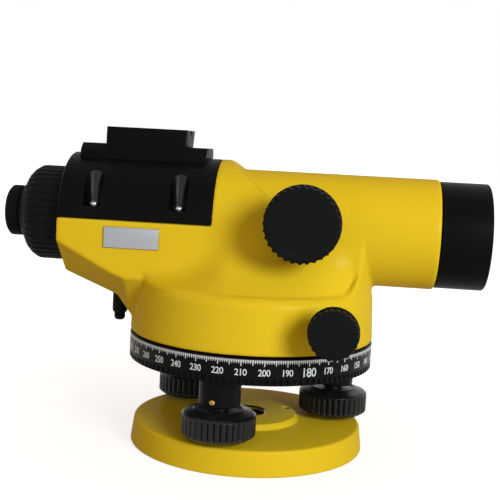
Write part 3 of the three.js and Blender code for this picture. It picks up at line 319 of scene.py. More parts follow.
def solid(name, *shapes):
    """A mesh object of the given shapes, in the instrument's place."""
    points, faces = together(*shapes)
    mesh = bpy.data.meshes.new(name)
    mesh.from_pydata([((x + AXIS_X) * MM, y * MM, z * MM) for x, y, z in points], [], faces)
    form = bmesh.new()
    form.from_mesh(mesh)
    bmesh.ops.remove_doubles(form, verts=form.verts, dist=1e-6)
    bmesh.ops.recalc_face_normals(form, faces=form.faces)
    form.to_mesh(mesh)
    form.free()
    obj = bpy.data.objects.new(name, mesh)
    bpy.context.scene.collection.objects.link(obj)
    return obj


def turned(name, outline, radius, sides, on=UPRIGHT, closed=True, steps=4):
    """A turned piece, from an outline whose corners are rounded."""
    return solid(name, lathe(rounded(outline, radius, closed, steps), sides, on))


def finished_mesh(obj):
    """An object's mesh with all its modifiers applied."""
    bpy.context.view_layer.update()
    return bpy.data.meshes.new_from_object(obj.evaluated_get(bpy.context.evaluated_depsgraph_get()))


def settle(obj):
    """Applies an object's modifiers to its mesh."""
    finished = finished_mesh(obj)
    obj.modifiers.clear()
    old, obj.data = obj.data, finished
    bpy.data.meshes.remove(old)
    finished.name = obj.name
    return obj


def combine(obj, operation, *forms):
    """Cuts forms out of an object, joins them to it or keeps what lies in them. A form is a shape, or an
    object, which is used up."""
    tools = []
    for form in forms:
        tools.append(form if isinstance(form, bpy.types.Object) else solid(f"{obj.name}_tool", form))
    for tool in tools:
        modifier = obj.modifiers.new("Shape", "BOOLEAN")
        modifier.operation, modifier.object, modifier.solver = operation, tool, "MANIFOLD"
    settle(obj)
    for tool in tools:
        mesh = tool.data
        bpy.data.objects.remove(tool)
        bpy.data.meshes.remove(mesh)
    return obj


def bevelled(obj, width, segments, angle):
    """Rounds an object's edges that are sharper than an angle."""
    modifier = obj.modifiers.new("Edges", "BEVEL")
    modifier.width, modifier.segments = width * MM, segments
    modifier.limit_method, modifier.angle_limit = "ANGLE", radians(angle)
    return settle(obj)


def placed(obj, body, material, nodes=(), smooth=35):
    """Gives a finished piece its material, its shading, its body and the nodes that it stands for."""
    obj.data.materials.clear()
    obj.data.materials.append(material)
    if not obj.data.polygons:
        raise RuntimeError(f"{obj.name} has no faces")
    obj.data.shade_smooth()
    obj.data.set_sharp_from_angle(angle=radians(smooth))
    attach(obj, body)
    if nodes:
        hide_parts(*nodes)
    return obj


def second_finish(obj, material, chosen):
    """Gives a second material to the faces that a test of their middle chooses."""
    obj.data.materials.append(material)
    for face in obj.data.polygons:
        x, y, z = (part / MM for part in face.center)
        if chosen(x - AXIS_X, y, z):
            face.material_index = 1


# Shared surface effects

def set_or_link(tree, socket, value):
    """Gives a socket a number, or a link from another socket."""
    if isinstance(value, bpy.types.NodeSocket):
        tree.links.new(value, socket)
    else:
        socket.default_value = value


def math_node(tree, operation, first, second):
    node = tree.nodes.new("ShaderNodeMath")
    node.operation = operation
    set_or_link(tree, node.inputs[0], first)
    set_or_link(tree, node.inputs[1], second)
    return node.outputs["Value"]


def noise_node(tree, place, scale, detail):
    node = tree.nodes.new("ShaderNodeTexNoise")
    tree.links.new(place, node.inputs["Vector"])
    set_or_link(tree, node.inputs["Scale"], scale)
    node.inputs["Detail"].default_value = detail
    return node.outputs["Fac"]


def stretched(tree, place, scale, rotation=(0, 0, 0)):
    """A place squeezed along the axes, so that a noise over it is drawn out into lines."""
    node = tree.nodes.new("ShaderNodeMapping")
    node.inputs["Scale"].default_value = scale
    node.inputs["Rotation"].default_value = rotation
    tree.links.new(place, node.inputs["Vector"])
    return node.outputs["Vector"]


def ranged(tree, value, low, high, start=0.0, end=1.0):
    """A value between low and high, while another goes from start to end."""
    node = tree.nodes.new("ShaderNodeMapRange")
    tree.links.new(value, node.inputs["Value"])
    for label, number in (("From Min", start), ("From Max", end), ("To Min", low), ("To Max", high)):
        node.inputs[label].default_value = number
    return node.outputs["Result"]


def mixed(tree, share, first, second):
    """A colour between two, by a share."""
    node = tree.nodes.new("ShaderNodeMix")
    node.data_type = "RGBA"
    tree.links.new(share, node.inputs["Factor"])
    for socket, value in zip((node.inputs[6], node.inputs[7]), (first, second)):
        set_or_link(tree, socket, value if isinstance(value, bpy.types.NodeSocket) else (*value, 1.0))
    return node.outputs[2]


def new_group(name, inputs, outputs):
    """An empty node group with its input and output sockets and the place on the object."""
    group = bpy.data.node_groups.new(name, "ShaderNodeTree")
    for label, default in inputs:
        socket = group.interface.new_socket(name=label, in_out="INPUT", socket_type="NodeSocketFloat")
        socket.default_value = default
    for label in outputs:
        group.interface.new_socket(name=label, in_out="OUTPUT", socket_type="NodeSocketFloat")
    given, out = group.nodes.new("NodeGroupInput").outputs, group.nodes.new("NodeGroupOutput").inputs
    return group, given, out, group.nodes.new("ShaderNodeTexCoord").outputs["Object"]


def grain_group():
    """Fine orange peel or moulded grain, with broad patches."""
    name = "Surface Grain"
    if name in bpy.data.node_groups:
        return bpy.data.node_groups[name]
    inputs = [("Grain Scale", 1200.0), ("Patch Scale", 30.0)]
    group, given, out, place = new_group(name, inputs, ["Height", "Patch"])
    group.links.new(noise_node(group, place, given["Grain Scale"], 3.0), out["Height"])
    group.links.new(noise_node(group, place, given["Patch Scale"], 4.0), out["Patch"])
    return group


def handling_group():
    """Small rubs and fine scratches from handling, as a mask."""
    name = "Handling Marks"
    if name in bpy.data.node_groups:
        return bpy.data.node_groups[name]
    group, given, out, place = new_group(name, [("Scale", 160.0), ("Amount", 0.3)], ["Mask"])
    drawn = stretched(group, place, (0.16, 1.0, 1.0), (0.3, 0.9, 0.4))
    fine = math_node(group, "GREATER_THAN", noise_node(group, drawn, given["Scale"], 6.0), 0.66)
    broad = math_node(group, "GREATER_THAN", noise_node(group, place, 45.0, 3.0), 0.56)
    marks = math_node(group, "MULTIPLY", fine, broad)
    group.links.new(math_node(group, "MULTIPLY", marks, given["Amount"]), out["Mask"])
    return group


def dust_group():
    """Light dust that lies on upward faces."""
    name = "Settled Dust"
    if name in bpy.data.node_groups:
        return bpy.data.node_groups[name]
    group, given, out, place = new_group(name, [("Scale", 500.0), ("Amount", 0.2)], ["Mask"])
    split = group.nodes.new("ShaderNodeSeparateXYZ")
    group.links.new(group.nodes.new("ShaderNodeNewGeometry").outputs["Normal"], split.inputs["Vector"])
    flat = math_node(group, "POWER", math_node(group, "MAXIMUM", split.outputs["Z"], 0.0), 6.0)
    dust = math_node(group, "MULTIPLY", flat, noise_node(group, place, given["Scale"], 4.0))
    group.links.new(math_node(group, "MULTIPLY", dust, given["Amount"]), out["Mask"])
    return group


def brushing_group():
    """Fine parallel lines of brushed or turned metal."""
    name = "Brushed Lines"
    if name in bpy.data.node_groups:
        return bpy.data.node_groups[name]
    group, given, out, place = new_group(name, [("Scale", 2600.0)], ["Height", "Streak"])
    drawn = stretched(group, place, (0.03, 0.4, 1.0))
    group.links.new(noise_node(group, drawn, given["Scale"], 3.0), out["Height"])
    group.links.new(noise_node(group, drawn, 420.0, 2.0), out["Streak"])
    return group


def use_group(tree, group, **values):
    node = tree.nodes.new("ShaderNodeGroup")
    node.node_tree = group
    for label, value in values.items():
        node.inputs[label.replace("_", " ")].default_value = value
    return node.outputs


# Finishes

def bump(tree, shader, height, distance):
    node = tree.nodes.new("ShaderNodeBump")
    node.inputs["Distance"].default_value = distance * MM
    tree.links.new(height, node.inputs["Height"])
    tree.links.new(node.outputs["Normal"], shader.inputs["Normal"])


def new_material(name, **values):
    material = bpy.data.materials.new(name)
    material.use_nodes = True
    shader = material.node_tree.nodes["Principled BSDF"]
    for label, value in values.items():
        shader.inputs[label.replace("_", " ")].default_value = value
    return material, material.node_tree, shader


def toned(main, share):
    """A colour made lighter or darker."""
    return [min(1.0, part * share) for part in main]


def coated_finish(name, main, thin, roughness, grain, depth, patch=25.0, dust=0.0, marks=0.0, **values):
    """Paint, plastic or rubber: grain, patches of tone, handling marks and dust."""
    if name in bpy.data.materials:
        return bpy.data.materials[name]
    gloss_spread, rub_gloss = 0.06, -0.25
    dust_colour, dust_roughness = (0.30, 0.29, 0.27), 0.4
    material, tree, shader = new_material(name, **values)
    surface = use_group(tree, grain_group(), Grain_Scale=grain, Patch_Scale=patch)
    tone = mixed(tree, surface["Patch"], main, thin)
    gloss = ranged(tree, surface["Patch"], roughness - gloss_spread, roughness + gloss_spread)
    if marks:
        rubs = use_group(tree, handling_group(), Amount=marks)["Mask"]
        tone = mixed(tree, rubs, tone, [min(1.0, 2.2 * part + 0.03) for part in main])
        gloss = math_node(tree, "ADD", gloss, math_node(tree, "MULTIPLY", rubs, rub_gloss))
    if dust:
        settled = use_group(tree, dust_group(), Amount=dust)["Mask"]
        tone = mixed(tree, settled, tone, dust_colour)
        gloss = math_node(tree, "ADD", gloss, math_node(tree, "MULTIPLY", settled, dust_roughness))
    tree.links.new(tone, shader.inputs["Base Color"])
    tree.links.new(gloss, shader.inputs["Roughness"])
    bump(tree, shader, surface["Height"], depth)
    return material


def metal_finish(name, main, roughness, depth=0.004):
    """Turned or brushed metal."""
    if name in bpy.data.materials:
        return bpy.data.materials[name]
    material, tree, shader = new_material(name, Metallic=1.0)
    lines = use_group(tree, brushing_group())
    gloss = ranged(tree, lines["Streak"], roughness - 0.07, roughness + 0.09)
    tree.links.new(mixed(tree, lines["Streak"], main, toned(main, 0.72)), shader.inputs["Base Color"])
    tree.links.new(gloss, shader.inputs["Roughness"])
    bump(tree, shader, lines["Height"], depth)
    return material


def glass_finish(name, tint, **values):
    """Polished optical glass."""
    if name in bpy.data.materials:
        return bpy.data.materials[name]
    material, tree, shader = new_material(name, IOR=1.52, Transmission_Weight=1.0, **values)
    patch = use_group(tree, grain_group(), Grain_Scale=90.0, Patch_Scale=18.0)["Patch"]
    tree.links.new(mixed(tree, patch, tint, toned(tint, 0.96)), shader.inputs["Base Color"])
    tree.links.new(ranged(tree, patch, 0.02, 0.04), shader.inputs["Roughness"])
    return material


def colours():
    return bpy.context.scene.level_colours


def sizes():
    return bpy.context.scene.level_sizes


def yellow_paint():
    tones = colours()
    return coated_finish("Yellow Enamel", tones.paint, tones.paint_shade, 0.42, grain=1150.0, depth=0.012,
                         patch=22.0, Specular_IOR_Level=0.0, Coat_Weight=0.09, Coat_Roughness=0.24)


def cover_black():
    tone = colours().cover
    return coated_finish("Satin Black", tone, toned(tone, 1.25), 0.42, grain=2600.0, depth=0.006,
                         patch=40.0, dust=0.02, marks=0.04, Specular_IOR_Level=0.035)


# Glossy black of the cover's screw pockets, also laid on the foot plate's bore and small holes as painted
# shade
def pocket_black():
    tone = colours().cover
    return coated_finish("Gloss Black", tone, toned(tone, 1.2), 0.2, grain=2600.0, depth=0.003,
                         patch=60.0, Specular_IOR_Level=0.3)


def knob_black():
    tone = colours().knob
    return coated_finish("Moulded Black", tone, toned(tone, 0.8), 0.55, grain=2400.0, depth=0.012,
                         patch=60.0, dust=0.02, marks=0.08, Specular_IOR_Level=0.05)


def grip_black():
    tone = colours().knob
    return coated_finish("Ribbed Black", tone, toned(tone, 0.8), 0.3, grain=2400.0, depth=0.008,
                         patch=60.0, dust=0.02, marks=0.06, Specular_IOR_Level=0.22)


def circle_black():
    tone = colours().circle
    return coated_finish("Circle Black", tone, toned(tone, 1.3), 0.36, grain=3200.0, depth=0.004,
                         patch=50.0, marks=0.05, Specular_IOR_Level=0.05)


def black_rubber():
    tone = colours().rubber
    return coated_finish("Black Rubber", tone, toned(tone, 1.4), 0.72, grain=1800.0, depth=0.02,
                         patch=70.0, dust=0.04, Specular_IOR_Level=0.04)


def marking_ink():
    tone = colours().marking
    return coated_finish("White Ink", tone, toned(tone, 0.9), 0.5, grain=2000.0, depth=0.004,
                         Specular_IOR_Level=0.3)


def band_silver():
    tone = colours().band
    return coated_finish("Silver Band", tone, toned(tone, 0.85), 0.42, grain=2600.0, depth=0.004,
                         Metallic=0.4, Specular_IOR_Level=0.4)


def plate_alloy():
    return metal_finish("Anodised Plate", colours().nameplate, 0.45, 0.005)


def steel():
    return metal_finish("Turned Steel", colours().steel, 0.28)


def brass():
    return metal_finish("Turned Brass", colours().brass, 0.30)


def alloy():
    return metal_finish("Light Alloy", colours().alloy, 0.42)


def coated_glass():
    return glass_finish("Coated Glass", colours().coating, Thin_Film_Thickness=420.0, Thin_Film_IOR=1.38)


def clear_glass():
    return glass_finish("Clear Glass", toned(colours().coating, 1.1))


def vial_liquid():
    return glass_finish("Vial Glass", colours().vial)


# The foot plate

def thread(radius, along, angle):
    """The ridge of the tripod thread on the inside of its bush, which fades at both ends."""
    if radius > 8:
        return radius
    pitch = sizes().thread_pitch / MM
    turn = (along / pitch - angle / (2 * pi)) % 1
    depth = 0.54 * pitch * (1 - abs(2 * turn - 1))
    fade = smooth_step(along, 0.6, 1.8) * (1 - smooth_step(along, 11.0, 12.4))
    return radius + min(depth, 1.0) * fade - 0.15 * fade


def in_plate_hole(x, y, z):
    """Whether a place is in the foot plate's bore or in one of its small holes, where the black is painted
    shade.
    """
    return hypot(x, y) < 8.4 or any(hypot(x - px, y - py) < 1.9 for px, py, pz in PLATE_SCREW_PLACES)


def build_foot_plate():
    skirt = rounded([
        (9.14, 0, 0.1), (15.6, 0, 0.3), (15.6, 2.4, 0.3), (46, 2.4, 0.4), (46, 0, 0.3), (50.7, 0, 0.6),
        (49.35, 10.4, 1.5), (22.6, 10.4, 0.7), (21.5, 12.9, 0.8), (8.6, 12.9, 0.25),
    ], 0.3, steps=5)
    plate = solid("foot_plate", lathe([*skirt, (7.6, 12.0), (7.6, 0.9)], 224))
    socket = [(0, 1), (6.0, 1), (6.0, 5.6), (4.4, 5.6), (4.4, 8.9), (3.2, 8.9), (3.8, 11.4), (0, 11.4)]
    screw_hole = [(0, -1), (1.8, -1), (1.8, 12.4), (2.5, 13.4), (0, 13.4)]
    wells = [lathe(socket, 48, upright(place)) for place in FOOT_PLACES]
    wells += [lathe(screw_hole, 32, upright(place)) for place in PLATE_SCREW_PLACES]
    combine(plate, "DIFFERENCE", *wells, cylinder(7.94, -1, 14, 96))
    placed(plate, "foot_plate", yellow_paint(), ["base_plate"])
    # The black on the walls of the bore and of the small holes is painted shade, for the shade inside them
    second_finish(plate, pocket_black(), in_plate_hole)
    heights = [0.4 + 0.165 * i for i in range(74)]
    bush = [*[(7.7, height) for height in heights], (9.0, heights[-1]), (9.0, heights[0])]
    placed(solid("tripod_thread", lathe(bush, 96, relief=thread)), "foot_plate", brass())
    build_spring_plate()


def build_spring_plate():
    spring = turned("foot_spring_plate", [(15.9, 1.2), (45.7, 1.2), (45.7, 2.1), (15.9, 2.1)], 0.15, 160)
    holes = [cylinder(1.8, 0, 4, 24, upright(place)) for place in PLATE_SCREW_PLACES]
    placed(combine(spring, "DIFFERENCE", *holes), "foot_plate", steel(), ["spring_plate"])
    outline = [(0, 0.1), (2.9, 0.1), (3.0, 0.9), (1.5, 0.9), (1.5, 9.5), (0, 9.5)]
    for k, (place, angle) in enumerate(zip(PLATE_SCREW_PLACES, PLATE_SCREW_ANGLES)):
        screw = turned(f"foot_plate_screw_{k + 1}", outline, 0.3, 40, upright(place), closed=False)
        slot = turned_about_z(block(-3.5, 3.5, -0.4, 0.4, -0.5, 0.45), angle)
        combine(screw, "DIFFERENCE", moved(slot, place))
        placed(screw, "foot_plate", steel(), [f"spring_plate_screw_{k + 1}"])


# Levelling screws and bushes

def build_foot_screws():
    for k, place in enumerate(FOOT_PLACES):
        build_foot_knob(k + 1, place)
        build_foot_stem(k + 1, place)
        build_foot_collar(k + 1, place)


def build_foot_knob(number, place):
    ribs, depth = sizes().foot_ribs, sizes().foot_rib_depth / MM
    relief = fluted(ribs, depth, 14.2, 21.2, fade=0.8, sharp=0.75, core=14.5)
    lower = rounded([(0, 12.6), (13.4, 12.6, 0.5), (15.1, 13.9, 0.5), (15.1, 14.4)], 0.5)
    upper = rounded([
        (15.1, 21.1), (15.1, 21.6, 0.4), (14.0, 22.5, 0.6), (10.6, 23.4, 0.5), (9.8, 24.0, 0.25),
        (9.0, 24.0, 0.2), (8.8, 23.5, 0.2), (4.0, 23.5, 0.2), (4.0, 33.4, 0.3), (0, 33.4),
    ], 0.3)
    profile = [*lower, *wall(15.1, 14.5, 21.0, 14), *upper]
    knob = solid(f"foot_knob_{number}", lathe(profile, ribs * 12, upright(place), relief))
    combine(knob, "DIFFERENCE", cylinder(2.6, 11, 16.3, 32, upright(place)))
    placed(knob, f"foot_screw_{number}", grip_black(), [f"foot_screw_{number}"])


def build_foot_stem(number, place):
    """The screw's lower stem, which ends in a ball."""
    radius, centre = 3.7, 6.3
    angles = [radians(-90 + 9 * i) for i in range(1, 16)]
    ball = [(radius * cos(angle), centre + radius * sin(angle)) for angle in angles]
    profile = [(0, centre - radius), *ball, (2.3, 9.4), (2.3, 16.0), (0, 16.0)]
    stem = solid(f"foot_stem_{number}", lathe(profile, 40, upright(place)))
    placed(stem, f"foot_ball_{number}", steel(), [f"foot_ball_{number}"])


def build_foot_collar(number, place):
    """The bush that a levelling screw runs up into, with its set screw."""
    collar = rounded([
        (4.3, 25.5, 0.2), (8.3, 25.5, 0.4), (8.5, 26.2, 0.3), (8.5, 37.2, 0.3), (6.5, 37.2, 0.1),
        (6.5, 41.7, 0.3), (0, 41.7),
    ], 0.3)
    bush = solid(f"foot_collar_{number}", lathe([(0, 36.3), (4.3, 36.3), *collar], 72, upright(place)))
    facing, centre = radians(-104.5), (place[0], place[1], 27.7)
    hole = cylinder(1.35, 7, 10, 28, ALONG_X)
    combine(bush, "DIFFERENCE", moved(turned_about_z(hole, facing), centre))
    placed(bush, "levelling_head", circle_black(), [f"foot_bush_{number}"])
    outline = rounded([(0, 6.9), (1.25, 6.9), (1.25, 8.3, 0.3), (0.7, 8.6), (0.7, 8.0), (0, 8.0)], 0.05)
    pin = moved(turned_about_z(lathe(outline, 24, ALONG_X), facing), centre)
    placed(solid(f"bush_set_screw_{number}", pin), "levelling_head", brass())


# The graduated circle

# Where the circle's zero stands, so that its 180 faces the near side. Its numbers fall from left to right.
ZERO_ANGLE = 121.0
CIRCLE_RADIUS = 52.5
# Lines and numbers start inside the circle's wall and end a little outside it
INK_FOOT, LINE_TOP, NUMBER_TOP = 52.45, 52.535, 52.54


def notch_relief(radius, along, angle):
    """Round-topped grip notches in the circle's lower edge."""
    if radius < 52:
        return radius
    half, top = 0.78, 39.2
    pitch = 2 * pi / sizes().circle_notches
    across = ((angle / pitch + 0.5) % 1 - 0.5) * pitch * radius
    away = hypot(across, max(0.0, along - top))
    return radius - sizes().notch_depth / MM * (1 - smooth_step(away, half - 0.35, half + 0.1))


def bent_marks(rings):
    """Flat outlines of (angle, height) laid on the circle as thin raised marks."""
    points, faces = [], []
    for outline in rings:
        first, size = len(points), len(outline)
        for radius in (INK_FOOT, LINE_TOP):
            points += [at_angle(radius, angle, height) for angle, height in outline]
        skins = [tuple(reversed(range(size))), tuple(range(size, 2 * size))]
        skins += [(i, (i + 1) % size, size + (i + 1) % size, size + i) for i in range(size)]
        faces += [tuple(first + i for i in skin) for skin in skins]
    return points, faces


def number_mesh(text, height):
    """The outline of a plain number as a flat mesh in millimetres, centred."""
    narrowing = 0.94
    curve = bpy.data.curves.new("number", "FONT")
    curve.body, curve.align_x, curve.align_y = text, "CENTER", "CENTER"
    curve.space_character, curve.offset, curve.resolution_u = 0.92, 0.012, 3
    holder = bpy.data.objects.new("number", curve)
    bpy.context.scene.collection.objects.link(holder)
    mesh = finished_mesh(holder)
    heights = [v.co.y for v in mesh.vertices]
    middle, scale = (max(heights) + min(heights)) / 2, height / (max(heights) - min(heights))
    points = [(v.co.x * scale * narrowing, (v.co.y - middle) * scale) for v in mesh.vertices]
    faces = [tuple(p.vertices) for p in mesh.polygons]
    bpy.data.objects.remove(holder)
    bpy.data.curves.remove(curve)
    bpy.data.meshes.remove(mesh)
    return points, faces


def wrapped_number(text, angle, centre, height):
    """A number standing on the circle, read from outside, a little raised."""
    flat, faces = number_mesh(text, height)
    size = len(flat)
    points = []
    for radius in (INK_FOOT, NUMBER_TOP):
        points += [at_angle(radius, angle + x / CIRCLE_RADIUS, centre + y) for x, y in flat]
    skins = [tuple(reversed(face)) for face in faces]
    skins += [tuple(i + size for i in face) for face in faces]
    # An edge that no other face shares is part of the number's outline and gets a wall
    edges = dict.fromkeys((i, j) for face in faces for i, j in zip(face, face[1:] + face[:1]))
    skins += [(i, j, j + size, i + size) for i, j in edges if (j, i) not in edges]
    return points, skins


def tick(degree):
    """The outline of a graduation line: longer and wider every 5 degrees, longest every 10."""
    low = 46.0 if degree % 5 else (45.3 if degree % 10 else 45.0)
    high = 47.4
    half = sizes().tick_width / MM / CIRCLE_RADIUS / 2 * (1.0 if degree % 5 else 1.45)
    angle = radians(ZERO_ANGLE - degree)
    return [(angle - half, low), (angle + half, low), (angle + half, high), (angle - half, high)]


def build_circle():
    body = rounded([
        (CIRCLE_RADIUS, 39.95, 0), (CIRCLE_RADIUS, 47.6, 0.3), (51.9, 48.1, 0.3), (49.9, 48.1, 0.2),
        (49.9, 45.6, 0.4), (14.3, 45.6, 0.2), (14.3, 42.3, 0.2), (18, 42.3, 0.2), (18, 43, 0.2),
        (49.9, 43, 0.4), (49.9, 39.95, 0),
    ], 0.2, closed=True)
    grip_heights = (37.4, 37.7, 38.2, 38.7, 39.1, 39.3, 39.5, 39.65, 39.8, 39.95)
    grip = [(49.9, 39.95), (49.9, 37.6), (50.6, 37.2), (51.9, 37.2)]
    grip += [(CIRCLE_RADIUS, height) for height in grip_heights]
    grip_ring = lathe(grip, sizes().circle_notches * 14, relief=notch_relief)
    ring = solid("circle_ring", lathe(body, 480), grip_ring)
    placed(ring, "circle", circle_black(), ["horizontal_circle"], smooth=40)
    lines = solid("circle_graduation", bent_marks([tick(degree) for degree in range(360)]))
    placed(lines, "circle", marking_ink())
    band = lathe([(52.44, 46.55), (52.515, 46.55), (52.515, 47.45), (52.44, 47.45)], 360)
    placed(solid("circle_edge_line", band), "circle", band_silver())
    numbers = []
    for value in range(0, 360, 10):
        height = sizes().number_height / MM * (1.34 if value in (0, 180) else 1)
        numbers.append(wrapped_number(str(value), radians(ZERO_ANGLE - value), 42.55, height))
    placed(solid("circle_numbers", *numbers), "circle", marking_ink(), smooth=20)


# The housing

DRUM_LOW, DRUM_TOP = 48.6, 71.0
JOINT, SEAT, CROWN_FRONT = -16.5, 95.8, 46
BOX_HALF, NARROWING = 27.0, 3.6
SHELL, FOOT_RADIUS = 51.0, 47.6


def side_half(x):
    """Half the telescope box's width, which narrows in front of the cover."""
    return BOX_HALF - NARROWING * min(1.0, max(0.0, (x - JOINT) / (CROWN_FRONT - JOINT)))


def bulge_side(x, z):
    """Half the width of the casting at a place along it and a height: flat high up, sloped out to a round
    foot on the drum, and run softly into the round front."""
    side = side_half(x)
    reach = FOOT_RADIUS + 3.6 * smooth_step(-x, 0, 37)
    foot = sqrt(max(0.0, reach ** 2 - x ** 2))
    climb = min(1.0, max(0.0, (z - DRUM_TOP) / 20))
    flank = side + max(0.0, foot - side) * (1 - climb) ** (1.5 + 5 * smooth_step(-x, 8, 38))
    front = 45.2 - 8.0 * (1 - min(1.0, climb * 1.6)) ** 2
    round_front = sqrt(SHELL ** 2 - x ** 2)
    return flank + (round_front - flank) * smooth_step(x, front - 0.4, 0.4 * front + 0.6 * 45.3)


def bulge_ring(z):
    """Plan outline of the casting at a height, symmetrical about the line of sight."""
    rear, front, steps = -43.2, 45.2, 72
    places = [rear + (front - rear) * (1 - cos(pi * i / steps)) / 2 for i in range(steps + 1)]
    near = [(x, -bulge_side(x, z), z) for x in places]
    edge = atan2(-near[-1][1], near[-1][0])
    nose = [at_angle(SHELL, edge * k / 12, z) for k in range(-11, 12)]
    return [*near, *nose, *[(x, -y, z) for x, y, z in reversed(near)]]


def box_ring(x, facet, low):
    """Section of the telescope box, with the height of its facets' upper edge and of its underside."""
    half = side_half(x)
    side = [(x, half, SEAT), (x, half, facet), (x, 11, low)]
    return [*side, *[(x, -y, z) for x, y, z in reversed(side)]]


def crown():
    """The half-round top of the casting in front of the cover, sloped down to the barrel."""
    peak = SIGHTLINE + BOX_HALF
    front_half = BOX_HALF - NARROWING
    side = side_prism([
        (JOINT, 88), (CROWN_FRONT, 88), (CROWN_FRONT, 91.5), (21.8, 95.6), (-12.4, peak + 0.3),
        (JOINT, peak + 0.3),
    ], -29, 29)
    plan = prism([
        (JOINT, -BOX_HALF), (CROWN_FRONT, -front_half), (CROWN_FRONT, front_half), (JOINT, BOX_HALF),
    ], 87, peak + 2)
    form = solid("crown_form", cylinder(BOX_HALF, JOINT, CROWN_FRONT, 160, SIGHT))
    combine(form, "UNION", block(JOINT, CROWN_FRONT, -BOX_HALF, BOX_HALF, 87, SIGHTLINE))
    for bound in (side, plan, cylinder(SHELL, 80, 130, 200)):
        combine(form, "INTERSECT", bound)
    return form


def housing_body():
    """The casting without its openings: drum, bulge, telescope box, barrel, focus boss and crown."""
    drum = rounded([
        (0, DRUM_LOW), (52.5, DRUM_LOW, 0), (51.5, 68.6, 3.5), (49.0, DRUM_TOP, 2.5), (0, DRUM_TOP, 0),
    ], 1, steps=6)
    heights = [68.0, 71.0, 71.6, 72.4, 73.4, 74.6, 76, 77.5, 79, 81, 83, 85, 87, 89, 91, SIGHTLINE]
    bulge = loft([bulge_ring(z) for z in heights])
    box_places = [(-81, 86.3, 71.8), (-57.8, 74.2, 62.5), (-52, 72, 54.7), (JOINT, 72, 54.7), (20, 72, 54.7)]
    box = loft([box_ring(*place) for place in box_places])
    barrel = cylinder(23.35, JOINT, 76.5, 180, SIGHT)
    boss = cylinder(10.6, -29.2, -19.5, 80, FOCUS)
    top = crown()
    body = solid("housing_casting", lathe(drum, 240))
    combine(body, "UNION", bulge, box, barrel, boss)
    return combine(body, "UNION", top)


def housing_openings():
    """The casting's hollows, its bores and its seats for other pieces."""
    drum_hollow = lathe([(0, 40), (47, 40), (47, 67.5), (46.5, 68), (0, 68)], 160)
    telescope_bore = cylinder(19.5, -20, 80, 120, SIGHT)
    front_recess = cylinder(21.4, 75.9, 80, 120, SIGHT)
    compensator_bay = block(-76, -18, -18.6, 18.6, 80, 110)
    eyepiece_bore = cylinder(12.3, -90, -70, 64, SIGHT)
    worm_bore = cylinder(5.7, -60, 60, 64, WORM)
    focus_bore = cylinder(6.7, -40, -14, 64, FOCUS)
    button_bore = lathe([(0, 50), (3.6, 50), (3.6, 66.3), (1.6, 66.3), (1.6, 82), (0, 82)], 48, BUTTON)
    vial_seat = cylinder(9.7, 71, 110, 72, VIAL)
    cover_seat = block(-90, JOINT, -40, 40, SEAT, 140)
    under_drum = cylinder(60, 40, DRUM_LOW, 64)
    screw_holes = [cylinder(1.5, 88, 97, 20, upright(place)) for place in COVER_SCREW_PLACES]
    return [drum_hollow, telescope_bore, front_recess, compensator_bay, eyepiece_bore, worm_bore, focus_bore,
            button_bore, vial_seat, cover_seat, under_drum, *screw_holes]


def build_housing():
    housing = housing_body()
    # Small cells that are then smoothed give the casting's edges their rounding
    cells = housing.modifiers.new("Cells", "REMESH")
    cells.mode, cells.voxel_size = "VOXEL", sizes().casting_round
    ease = housing.modifiers.new("Ease", "SMOOTH")
    ease.factor, ease.iterations = 0.5, 7
    settle(housing)
    combine(housing, "DIFFERENCE", *housing_openings())
    placed(housing, "upper_part", yellow_paint(), ["housing"], smooth=32)


# Knobs

def build_tangent_knobs():
    ribs, depth = sizes().tangent_ribs, sizes().tangent_rib_depth / MM
    relief = fluted(ribs, depth, 57.5, 64.2, fade=0.5, sharp=0.9, core=8.9, start=57.4)
    back = rounded([
        (0, 45.0), (6.2, 45.0, 0.3), (6.2, 55.2, 0.8), (9.2, 55.6, 0.4), (9.95, 56.0, 0.3), (9.95, 57.1, 0.3),
        (9.6, 57.5, 0.1), (9.6, 57.8),
    ], 0.3)
    front = rounded([(9.55, 63.0), (9.5, 63.3, 0.2), (9.0, 64.0, 0.35), (2.0, 64.0, 0.2), (0, 63.9)], 0.3)
    knob = lathe([*back, *wall(9.6, 57.9, 62.9, 12), *front], ribs * 14, WORM, relief)
    bore = cylinder(2.8, 44, 56.3, 28, WORM)
    bush = lathe(rounded([(2.8, 31.4), (5.4, 31.4), (5.4, 44.6), (2.8, 44.6)], 0.4, closed=True), 64, WORM)
    for side in ("far", "near"):
        if side == "near":
            knob, bore, bush = mirrored(knob), mirrored(bore), mirrored(bush)
        grip = combine(solid(f"tangent_knob_{side}_grip", knob), "DIFFERENCE", bore)
        placed(grip, "tangent_screw", knob_black(), [f"tangent_knob_{side}"])
        collar = solid(f"worm_bush_{side}_turned", bush)
        placed(collar, "upper_part", cover_black(), [f"worm_bush_{side}"])


